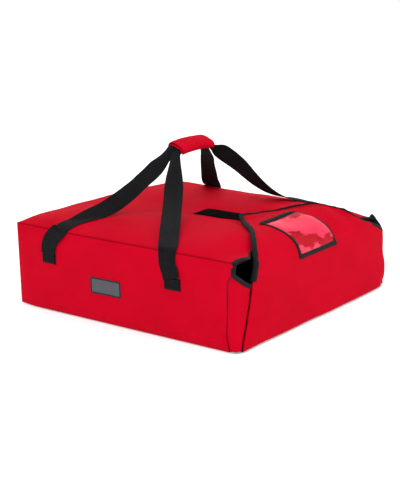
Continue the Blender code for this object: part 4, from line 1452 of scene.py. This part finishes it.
    def build_pocket(self) -> None:
        """The clear window and the four tapes round it."""
        form = self.form
        half = self.ticket_width / 2
        start, end = self.ticket_start, self.ticket_start + self.ticket_length
        side, band = self.side_tape, self.end_tape
        tapes = [
            self.tape("pocket_tape_left", (-half, -half + side), (start, end), 0.0004, 0.0014),
            self.tape("pocket_tape_right", (half - 0.75 * side, half), (start, end - 0.050), 0.0004,
                      0.0014),
            self.tape("pocket_tape_lower", (-half - 0.001, half + 0.001), (start - 0.001, start + band),
                      0.0006, 0.0018),
            self.tape("pocket_tape_upper", (-half - 0.002, half - 0.001), (end - band, end + 0.001),
                      0.0022, 0.0036),
        ]
        for tape in tapes:
            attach(tape, "flap_upper")
            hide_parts("ticket_binding")
        v, u = np.meshgrid(np.linspace(-1, 1, 60), np.linspace(-1, 1, 48), indexing="ij")
        x = u * (half - 0.003)
        along = (start + end) / 2 + v * (self.ticket_length / 2 - 0.004)
        middle = (1 - u ** 4) * (1 - v ** 4)
        lift = 0.0008 + 0.0034 * middle + 0.0009 * wander(x, along, 0.05, 91) * middle
        lift = lift + 0.0016 * smoothstep(v, -0.1, 0.9) * smoothstep(u, 0.2, 0.9) * (1 - u ** 8)
        flat = np.dstack([x, along])
        x = self.lean(x, along)
        outer = form.outer(x, along, lift + 0.0004)
        inner = form.outer(x, along, lift)
        window = make_piece("pocket_window", closed_layer(outer, inner, flat), self.palette.vinyl)
        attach(window, "flap_upper")
        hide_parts("ticket_window")
        log.info("ticket pocket: %d tapes and its window", len(tapes))


@dataclass
class LoopStrip:
    """The strip of loop tape along the middle of the top panel, which the flap's hooks grip."""

    palette: Palette
    box: BagForm = BagForm()
    half: float = 0.025
    front: float = -0.190
    rear: float = 0.000
    gap: float = 0.0002
    top: float = 0.0016

    def build(self) -> None:
        """Make and place the strip, laid on the top panel's own surface."""
        y = np.linspace(self.front, self.rear, 60)[:, None]
        x = np.linspace(-self.half, self.half, 15)[None, :]
        x, y = np.broadcast_arrays(x, y)
        under = self.box.top_height(x, y)
        outer = np.dstack([x, y, under + self.top])
        inner = np.dstack([x, y, under + self.gap])
        strip = make_piece("top_loop_strip", closed_layer(outer, inner, np.dstack([x, y])),
                           self.palette.loop)
        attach(strip, "bag")
        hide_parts("closure_loop_strip")
        log.info("loop strip: %d faces", len(strip.data.polygons))


@dataclass
class LabelPatch:
    """The bare woven patch on the left side, with its turned edge."""

    palette: Palette
    box: BagForm = BagForm()
    y: float = 0.027
    z: float = 0.0745
    width: float = 0.076
    height: float = 0.032
    border: float = 0.003
    thick: float = 0.0010
    gap: float = 0.0001
    edge_rise: float = 0.0009

    def build(self) -> None:
        """Make and place the patch and the edge round it."""
        v, u = np.meshgrid(crowded(20), crowded(34), indexing="ij")
        y = self.y + u * self.width / 2
        z = self.z + v * self.height / 2
        out = self.box.half_width + self.box.side_out(y, z)
        outer = np.dstack([-(out + self.thick), y, z])
        inner = np.dstack([-(out + self.gap), y, z])
        patch = make_piece("side_patch", closed_layer(outer, inner, np.dstack([y, z])),
                           self.palette.patch)
        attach(patch, "bag")
        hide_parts("label_patch")
        corners = np.array([[-1, -1], [1, -1], [1, 1], [-1, 1], [-1, -1]])
        sizes = np.array([self.width - self.border, self.height - self.border]) / 2
        line = np.concatenate([np.linspace(a, b, 24, endpoint=False) for a,
                               b in zip(corners[:-1], corners[1:])])
        line = line * sizes + (self.y, self.z)
        step = np.roll(line, -1, axis=0) - np.roll(line, 1, axis=0)
        way = np.column_stack([step[:, 1], -step[:, 0]])
        way = unit(way)
        turn = around(10)
        flat = line[:, None] + way[:, None] * (self.border / 2 * np.cos(turn))[None, :, None]
        out = self.box.half_width + self.box.side_out(flat[..., 0], flat[..., 1])
        lift = self.thick + self.edge_rise * np.sin(turn)
        rings = np.dstack([-(out + lift[None, :]), flat[..., 0], flat[..., 1]])
        rings = np.concatenate([rings, rings[:1]])
        lengths = path_length(np.concatenate([line, line[:1]]))
        edge = make_piece("side_patch_edge", sweep(rings, lengths, capped=False),
                          self.palette.patch_edge)
        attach(edge, "bag")
        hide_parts("label_patch")
        log.info("label patch and its edge")


@dataclass(frozen=True)
class StrapRoute:
    """One free stretch: its sewn end, its lean up the side, and its heights and twist after that.

    The rise holds (y, z) points on the side panel, the heights (distance from the bag's middle, z)
    points, and the twist (distance from the grip's end, degrees from level) points.
    """

    place: str
    side: int
    tab_y: float
    tab_top: float
    rise: tuple[Pair, ...]
    edge: Pair
    end_y: float
    heights: tuple[Pair, ...]
    twist: tuple[Pair, ...]
    narrows_over: float = 0.055

    @property
    def name(self) -> str:
        """The stretch's name, such as front_left."""
        return f"{self.place}_{'left' if self.side < 0 else 'right'}"


REAR_LEFT = StrapRoute(
    "rear", -1, 0.1760, 0.1220, ((0.1755, 0.120), (0.1745, 0.134), (0.1695, 0.147), (0.1600, 0.159)),
    (0.1500, 0.1660), 0.0290,
    ((0.2500, 0.1722), (0.2400, 0.1755), (0.2286, 0.1790), (0.2119, 0.1865), (0.1945, 0.1940),
     (0.1760, 0.2015),
     (0.1581, 0.2112), (0.1408, 0.2230), (0.1252, 0.2358), (0.1093, 0.2498), (0.0930, 0.2629),
     (0.0771, 0.2790), (0.0660, 0.2930)),
    ((0.0, 43.0), (0.020, 32.0), (0.055, 37.0), (0.100, 33.0), (0.123, 40.0), (0.160, 45.0),
     (0.193, 33.0), (0.25, 32.0)))
FRONT_LEFT = StrapRoute(
    "front", -1, -0.1380, 0.1195, ((-0.1375, 0.118), (-0.1340, 0.130), (-0.1280, 0.140),
                                   (-0.1255, 0.152)),
    (-0.1235, 0.1690), 0.0180,
    ((0.2500, 0.1755), (0.2350, 0.1818), (0.2090, 0.1935), (0.1766, 0.2065), (0.1359, 0.2250),
     (0.1025, 0.2530), (0.0806, 0.2790), (0.0660, 0.2940)),
    ((0.0, -5.0), (0.25, 0.0)), 0.095)
REAR_RIGHT = StrapRoute(
    "rear", 1, 0.1780, 0.1190, ((0.1780, 0.117), (0.1770, 0.130), (0.1740, 0.142), (0.1700, 0.151)),
    (0.1660, 0.1590), 0.0290,
    ((0.2500, 0.1655), (0.2360, 0.1715), (0.2175, 0.1785), (0.1964, 0.1860), (0.1616, 0.2050),
     (0.1358, 0.2310), (0.1104, 0.2570), (0.0802, 0.2830), (0.0665, 0.2950)),
    ((0.0, -40.0), (0.080, -38.0), (0.200, 0.0)), 0.065)
FRONT_RIGHT = StrapRoute(
    "front", 1, -0.1360, 0.1100, ((-0.1360, 0.108), (-0.1345, 0.122), (-0.1320, 0.134),
                                  (-0.1305, 0.143)),
    (-0.1300, 0.1510), 0.0180,
    ((0.2500, 0.1575), (0.2360, 0.1618), (0.2175, 0.1680), (0.1969, 0.1738), (0.1753, 0.1834),
     (0.1556, 0.1972),
     (0.1397, 0.2132), (0.1242, 0.2324), (0.1093, 0.2517), (0.0934, 0.2692), (0.0763, 0.2860),
     (0.0665, 0.2960)),
    ((0.0, 8.0), (0.012, 30.0), (0.024, 50.0), (0.040, 58.0), (0.055, 57.0), (0.080, 49.0),
     (0.108, 37.0), (0.135, 29.0), (0.160, 22.0), (0.200, 10.0), (0.230, 0.0)), 0.034)


@dataclass
class CarryStraps:
    """Two webbing straps: four free stretches, their sewn tabs and the middles inside the grip."""

    palette: Palette
    box: BagForm = BagForm()
    width: float = 0.038
    thickness: float = 0.0018
    tab_height: float = 0.023
    handle_y: float = 0.0235
    grip_z: float = 0.310
    grip_half: float = 0.054
    grip_tilt: float = math.radians(22.0)
    arch_drop: float = 0.003
    rest_gap: float = 0.0018
    slack_start: float = 0.158
    strap_gap: float = 0.0007
    edge_curl: float = 0.0045
    gather: float = 0.50
    tab_thick: float = 0.0030
    stitch_inset: float = 0.003
    stitch_lift: float = 0.0035
    stitch_sink: float = 0.0005
    thread_radius: float = 0.0004
    side_stitches: int = 22
    routes: tuple[StrapRoute, ...] = (REAR_LEFT, FRONT_LEFT, REAR_RIGHT, FRONT_RIGHT)

    def middle_line(self, route: StrapRoute) -> Array:
        """A stretch's middle line: up the side, over its edge, then straight in plan to the grip's end.

        Args:
            route: the stretch.

        Returns:
            Points of a smooth curve from the tab's top to inside the grip.
        """
        side, half = route.side, self.box.half_width
        rise = np.array(route.rise)
        x = half + self.box.side_out(rise[:, 0], rise[:, 1],
                                     side) + np.array([0.0042, 0.0036, 0.0030, 0.0026])
        up = np.column_stack([side * x, rise])
        edge_y, edge_z = route.edge
        edge = np.array([[side * (half + 0.0022), edge_y, edge_z]])
        heights = np.array(route.heights)
        way = (half - heights[:, 0]) / (half - self.grip_half - 0.0015)
        over = np.column_stack([side * heights[:, 0], edge_y + (route.end_y - edge_y) * way,
                                heights[:, 1]])
        end_x = np.array([self.grip_half + 0.0005, self.grip_half - 0.008])
        end_z = np.full(2, self.grip_z - self.arch_drop)
        end_z = end_z + (route.end_y - self.handle_y) * math.sin(self.grip_tilt)
        end = np.column_stack([side * end_x, np.full(2, route.end_y), end_z - 0.0005])
        return smooth_line(np.concatenate([up, edge, over, end]), 9)

    def stretch_rings(self, route: StrapRoute) -> tuple[Array, Array]:
        """A free stretch: its section carried along the middle line, twisted by the hand's pull.

        The strap's width lies across the side panel at the tab. From the edge on it is measured from
        level and square to the way in, and turned about the middle line by the twist. It narrows
        and curls where it is gathered into the grip.

        Args:
            route: the stretch.

        Returns:
            Rings of the strap's section, and the length along the strap of each.
        """
        line = self.middle_line(route)
        length = path_length(line)
        keep = np.concatenate([[True], np.diff(length) > 1e-6])
        even = np.linspace(0.0, length[-1], 120)
        line = np.column_stack([np.interp(even, length[keep], line[keep, i]) for i in range(3)])
        tangent = np.gradient(line, axis=0)
        tangent = unit(tangent)
        plan = line[-1] - line[50]
        level = np.array([-plan[1], plan[0], 0.0]) / np.hypot(plan[0], plan[1])
        above = np.cross(tangent, level)
        above = unit(above)
        twist = np.array(route.twist)
        left = even[-1] - 0.008 - even
        angle = np.radians(np.interp(left, twist[:, 0], twist[:, 1]))[:, None]
        free = np.cos(angle) * level + np.sin(angle) * above
        on_side = np.array([0.0, -route.side, 0.0])
        edge = even[int(np.argmax(np.abs(line[:, 0]) < 0.2565))]
        leave = smoothstep(even, edge - 0.035, edge + 0.060)[:, None]
        wide = (1 - leave) * on_side + leave * free
        wide -= (wide * tangent).sum(axis=1)[:, None] * tangent
        wide = unit(wide)
        normal = np.cross(tangent, wide)
        across, thick = self.section()
        gathered = 1 - smoothstep(left, 0.0, route.narrows_over)
        stack = (self.thickness + self.strap_gap) * (1.0 if route.place == "rear" else 0.0)
        lift = stack * (1 - smoothstep(left, 0.03, 0.10))
        curl = -self.edge_curl * gathered[:, None] * (2 * across[None, :] / self.width) ** 2
        wave = 0.0007 * wander(even, 0.0, 0.07, 31 + route.side)[:, None]
        out = thick[None, :] + lift[:, None] + curl + wave * leave
        narrow = 1 - self.gather * gathered
        flat = line[:, None] + wide[:, None] * (narrow[:, None] * across[None, :])[..., None]
        inside = np.abs(flat[..., 0]) < self.box.half_width - 0.001
        under = self.box.top_height(np.clip(flat[..., 0], -0.256, 0.256),
                                    flat[..., 1]) + self.rest_gap - flat[..., 2]
        flat[..., 2] += np.where(inside, np.maximum(under, 0.0), 0.0)
        return flat + normal[:, None] * out[..., None], even

    def section(self) -> tuple[Array, Array]:
        """The strap's section: a flat ring with round edges, as places across and through it.

        Returns:
            The places across the strap, and those through it.
        """
        turn = around(28)
        across = self.width / 2 * squarer(np.cos(turn), 0.55)
        thick = self.thickness / 2 * squarer(np.sin(turn), 0.35)
        return across, thick

    def build(self) -> None:
        """Make and place the stretches, tabs and middles."""
        for route in self.routes:
            rings, lengths = self.stretch_rings(route)
            strap = make_piece(f"webbing_{route.name}", sweep(rings, lengths), self.palette.webbing)
            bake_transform(strap)
            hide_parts(f"strap_{route.name}")
            self.build_tab(route)
        for place, level in (("front", 0.0), ("rear", self.thickness + self.strap_gap)):
            self.build_middle(place, level)
        log.info("straps: 4 stretches, 4 tabs, 2 middles")

    def build_tab(self, route: StrapRoute) -> None:
        """The strap's sewn end: a doubled piece of webbing on the side panel, with a row of stitches.

        Args:
            route: the stretch that it ends.
        """
        v, u = np.meshgrid(crowded(16), crowded(24), indexing="ij")
        y = route.tab_y + u * self.width / 2
        z = route.tab_top - self.tab_height / 2 + v * self.tab_height / 2
        base = self.box.half_width + self.box.side_out(y, z, route.side)
        swell = self.tab_thick * np.clip((1 - np.abs(u) ** 14) * (1 - np.abs(v) ** 14), 0.25, 1.0)
        outer = np.dstack([route.side * (base + 0.0003 + swell), y, z])
        inner = np.dstack([route.side * (base + 0.0002), y, z])
        tab = make_piece(f"webbing_tab_{route.name}", closed_layer(outer, inner, np.dstack([y, z])),
                         self.palette.webbing)
        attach(tab, "bag")
        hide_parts(f"strap_tab_{route.name}")
        self.build_stitches(route)

    def build_stitches(self, route: StrapRoute) -> None:
        """The box of stitches on a tab: short threads that sink into the webbing between them.

        Args:
            route: the stretch whose tab it is on.
        """
        half, tall = self.width / 2 - self.stitch_inset, self.tab_height / 2 - self.stitch_inset
        corners = np.array([[-half, -tall], [half, -tall], [half, tall], [-half, tall], [-half, -tall]])
        line = np.concatenate([np.linspace(a, b, self.side_stitches * 6, endpoint=False)
                               for a, b in zip(corners[:-1], corners[1:])])
        y = route.tab_y + line[:, 0]
        z = route.tab_top - self.tab_height / 2 + line[:, 1]
        run = np.arange(len(line)) / 6.0
        sink = self.stitch_sink * np.cos(2 * math.pi * run)
        x = self.box.half_width + self.box.side_out(y, z, route.side) + self.stitch_lift + sink
        centre = np.column_stack([route.side * x, y, z])
        turn = around(6)
        step = np.gradient(centre, axis=0)
        step = unit(step)
        outward = np.array([float(route.side), 0.0, 0.0])
        beside = np.cross(step, outward)
        beside = unit(beside)
        way = (np.cos(turn)[None, :, None] * beside[:, None]
               + np.sin(turn)[None, :, None] * outward)
        rings = centre[:, None] + self.thread_radius * way
        thread = make_piece(f"tab_stitches_{route.name}", sweep(rings, path_length(centre)),
                            self.palette.black_thread)
        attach(thread, "bag")
        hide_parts(f"strap_tab_{route.name}")

    def build_middle(self, place: str, level: float) -> None:
        """A strap's middle inside the grip, level with its stretches.

        Args:
            place: front or rear.
            level: how far it lies above the arch.
        """
        across, thick = self.section()
        x = np.linspace(-self.grip_half + 0.002, self.grip_half - 0.002, 30)
        sink = self.arch_drop * np.minimum((x / self.grip_half) ** 2, 1.0)
        shift = 0.0055 if place == "rear" else -0.0055
        wide, up = 0.62 * across + shift, level - 0.0012 + thick
        sine, cosine = math.sin(self.grip_tilt), math.cos(self.grip_tilt)
        y = np.broadcast_to(self.handle_y + wide * cosine - up * sine, (30, len(across)))
        z = self.grip_z - sink[:, None] + wide * sine + up * cosine
        rings = np.dstack([np.broadcast_to(x[:, None], z.shape), y, z])
        strap = make_piece(f"webbing_middle_{place}", sweep(rings, x - x[0]), self.palette.webbing)
        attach(strap, "grip")
        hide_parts(f"strap_{place}_middle")


@dataclass
class CarryGrip:
    """The padded sleeve rolled round both straps, tilted by their pull, and its leaf."""

    palette: Palette
    y: float = 0.0235
    z: float = 0.3105
    half: float = 0.053
    shift: float = 0.004
    width: float = 0.036
    height: float = 0.0120
    tilt: float = math.radians(22.0)
    arch: float = 0.003
    cloth: float = 0.0020
    core_end: float = 0.012
    tape_long: float = 0.042
    tape_half: float = 0.009
    tape_fall: float = 0.0020
    tape_thick: float = 0.0008

    def rings(self, x: Array, across: Array, up: Array) -> Array:
        """Carry a section along the grip's middle line, which sinks to both ends as a parabola.

        The section is turned by the grip's tilt, so that its front edge lies lower.

        Args:
            x: stations along the grip.
            across: the section's places across, for each station and corner.
            up: the section's heights, for each station and corner.

        Returns:
            Rings as (station, corner, 3).
        """
        x = np.asarray(x, float)
        sink = self.arch * (x / self.half) ** 2
        y = self.y + across * math.cos(self.tilt) - up * math.sin(self.tilt)
        z = self.z - sink + across * math.sin(self.tilt) + up * math.cos(self.tilt)
        return np.dstack(np.broadcast_arrays(x + self.shift, y, z))

    def build(self) -> None:
        """Make and place the sleeve, its core, the leaf and both strips."""
        turn = around(56)
        across = squarer(np.cos(turn), 0.7)
        up = squarer(np.sin(turn), 0.75)
        x = (self.half * crowded(45, 0.8))[:, None]
        mouth = smoothstep(self.half - np.abs(x), 0.0, 0.020)
        puff = (1 + 0.05 * np.cos(math.pi / 2 * x / self.half)) * (1.10 - 0.10 * mouth)
        crumple = 0.0006 * wander(x, 0.02 * turn[None, :], 0.03, 19)
        outside = self.rings(x, self.width / 2 * across * (0.97 + 0.03 * mouth),
                             (self.height / 2 + crumple) * puff * up)
        inner_width = (self.width / 2 - self.cloth) * across
        inside = self.rings(x, inner_width, (self.height / 2 - self.cloth + crumple) * puff * up)
        loop = np.concatenate([outside, inside[::-1], outside[:1]])
        lengths = path_length(loop[:, 0])
        sleeve = make_piece("grip_outer_sleeve", sweep(loop, lengths, capped=False), self.palette.red)
        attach(sleeve, "grip")
        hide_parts("grip_sleeve")
        core_x = np.linspace(-self.half + self.core_end, self.half - self.core_end, 12)[:, None]
        core = self.rings(core_x, (self.width / 2 - 0.0030) * across[None, :],
                          (self.height / 2 - 0.0032) * up[None, :])
        pad = make_piece("grip_foam_core", sweep(core, core_x[:, 0] - core_x[0, 0]),
                         self.palette.lining)
        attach(pad, "grip")
        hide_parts("grip_pad")
        self.build_strip("grip_loop_tape", "grip", "grip_loop_strip", 0.0004,
                         self.palette.loop)
        self.build_strip("grip_hook_tape", "grip_leaf", "grip_hook_strip", 0.0014,
                         self.palette.hook)
        self.build_leaf()
        log.info("grip: sleeve, core, leaf and tapes")

    def build_strip(self, name: str, body: str, node: str, lift: float,
                    material: bpy.types.Material) -> None:
        """A strip of tape on top of the grip, a thin closed sheet.

        Args:
            name: the object's name.
            body: the body that it rides on.
            node: the node that it stands for.
            lift: its height over the sleeve's top.
            material: its finish.
        """
        x = np.linspace(-self.tape_long, self.tape_long, 24)[:, None]
        across = np.linspace(-self.tape_half, self.tape_half, 7)[None, :]
        top = self.height / 2 * 1.05 + lift - self.tape_fall * (across / self.tape_half) ** 2
        outer = self.rings(x, across, top + self.tape_thick)
        inner = self.rings(x, across, top)
        flat = np.dstack(np.broadcast_arrays(x, across))
        strip = make_piece(name, closed_layer(outer, inner, flat), material)
        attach(strip, body)
        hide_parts(node)

    def build_leaf(self) -> None:
        """The leaf: a thin padded sheet that wraps the top and turns down over the front edge."""
        v, u = np.meshgrid(crowded(44, 0.6), crowded(36, 0.6), indexing="ij")
        x = (self.half - 0.0015) * v
        angle = math.pi / 2 - u * (math.pi / 2 + 0.25 * (u < 0))
        reach = self.width / 2 + 0.0012
        rise = self.height / 2 * 1.06 + 0.0026
        across = reach * squarer(np.cos(angle), 0.7)
        up = rise * squarer(np.sin(angle), 0.75)
        wave = 0.0005 * wander(x, across, 0.035, 29)
        grow = 0.0016 * np.clip((1 - np.abs(u) ** 16) * (1 - np.abs(v) ** 24), 0.35, 1.0) + 0.0002
        way_across, way_up = np.cos(angle), np.sin(angle)
        outer = self.rings(x, across + way_across * grow, up + (grow + wave) * way_up)
        inner = self.rings(x, across, up + wave * way_up)
        leaf = make_piece("grip_closing_leaf", closed_layer(outer, inner, np.dstack([x, across])),
                          self.palette.red)
        rear, free = (self.rings(np.zeros((1, 1)), np.array([[place]]), np.zeros((1, 1)))[0, 0]
                      for place in (reach + 0.0003, 0.0092))
        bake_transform(leaf)
        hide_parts("grip_leaf")


@dataclass
class Studio:
    """The camera, the pale floor and soft light from all round."""

    place: Point = (-1.8711, -1.4745, 0.7288)
    look: Point = (0.7593, 0.6003, -0.2512)
    roll: float = math.radians(-1.408)
    lens: float = 89.39
    floor_half: float = 40.0
    floor_drop: float = 0.0008
    floor_glow: float = 0.22
    world_strength: float = 0.95
    lights: tuple[tuple[str, Point, float, float], ...] = (
        ("key", (-2.2, -1.2, 2.4), 2.2, 50.0), ("fill", (1.2, -2.6, 1.3), 2.4, 20.0),
        ("rear", (1.4, 2.2, 2.2), 2.4, 24.0))

    def build(self) -> None:
        """Make the camera, floor, lights and world."""
        bpy.context.scene.view_settings.view_transform = "Standard"
        forward = Vector(self.look).normalized()
        right = forward.cross(Vector((0.0, 0.0, 1.0))).normalized()
        up = right.cross(forward)
        turned = right * math.cos(self.roll) + up * math.sin(self.roll)
        above = up * math.cos(self.roll) - right * math.sin(self.roll)
        frame = Matrix((turned, above, -forward)).transposed().to_4x4()
        frame.translation = Vector(self.place)
        data = bpy.data.cameras.new("photo_camera")
        data.lens = self.lens
        data.sensor_width = 36.0
        camera = bpy.data.objects.new("photo_camera", data)
        camera.matrix_world = frame
        bpy.context.collection.objects.link(camera)
        bpy.context.scene.camera = camera
        self.build_floor()
        for name, place, size, power in self.lights:
            self.build_light(name, place, size, power)
        world = bpy.data.worlds.new("studio_world")
        world.use_nodes = True
        sky = world.node_tree.nodes["Background"]
        sky.inputs["Color"].default_value = linear("ffffff")
        sky.inputs["Strength"].default_value = self.world_strength
        bpy.context.scene.world = world
        log.info("studio ready")

    def build_floor(self) -> None:
        """A wide pale floor under the bag."""
        corner = np.linspace(-self.floor_half, self.floor_half, 2)
        x, y = np.meshgrid(corner, corner, indexing="ij")
        grid = np.dstack([x, y, np.full_like(x, -self.floor_drop)])
        material = bpy.data.materials.new("pale_floor_paint")
        material.use_nodes = True
        shader = material.node_tree.nodes["Principled BSDF"]
        shader.inputs["Base Color"].default_value = linear("f4f4f4")
        shader.inputs["Roughness"].default_value = 0.9
        shader.inputs["Emission Color"].default_value = linear("ffffff")
        shader.inputs["Emission Strength"].default_value = self.floor_glow
        floor = make_piece("floor", [Patch(grid, np.dstack([x, y]))], material, Facing.OUT,
                           (0.0, 0.0, -1.0))

    def build_light(self, name: str, place: Point, size: float, power: float) -> None:
        """A square soft light that looks at the bag.

        Args:
            name: the light's name.
            place: where it stands.
            size: length of its side.
            power: watts.
        """
        data = bpy.data.lights.new(name, "AREA")
        data.size = size
        data.energy = power
        lamp = bpy.data.objects.new(name, data)
        way = Vector((0.0, 0.0, 0.1)) - Vector(place)
        aim = way.to_track_quat("-Z", "Y").to_matrix().to_4x4()
        lamp.matrix_world = Matrix.Translation(place) @ aim
        bpy.context.collection.objects.link(lamp)


def main() -> None:
    """Load the frame, build every sub-assembly in order and set up the studio."""
    logging.basicConfig(level=logging.INFO, format="%(name)s: %(message)s")
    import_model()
    palette = Palette()
    for part in (BagShell(palette), MouthGussets(palette), FrontFlap(palette), LoopStrip(palette),
                 LabelPatch(palette), CarryStraps(palette), CarryGrip(palette)):
        part.build()
    Studio().build()


if __name__ == "__main__":
    main()
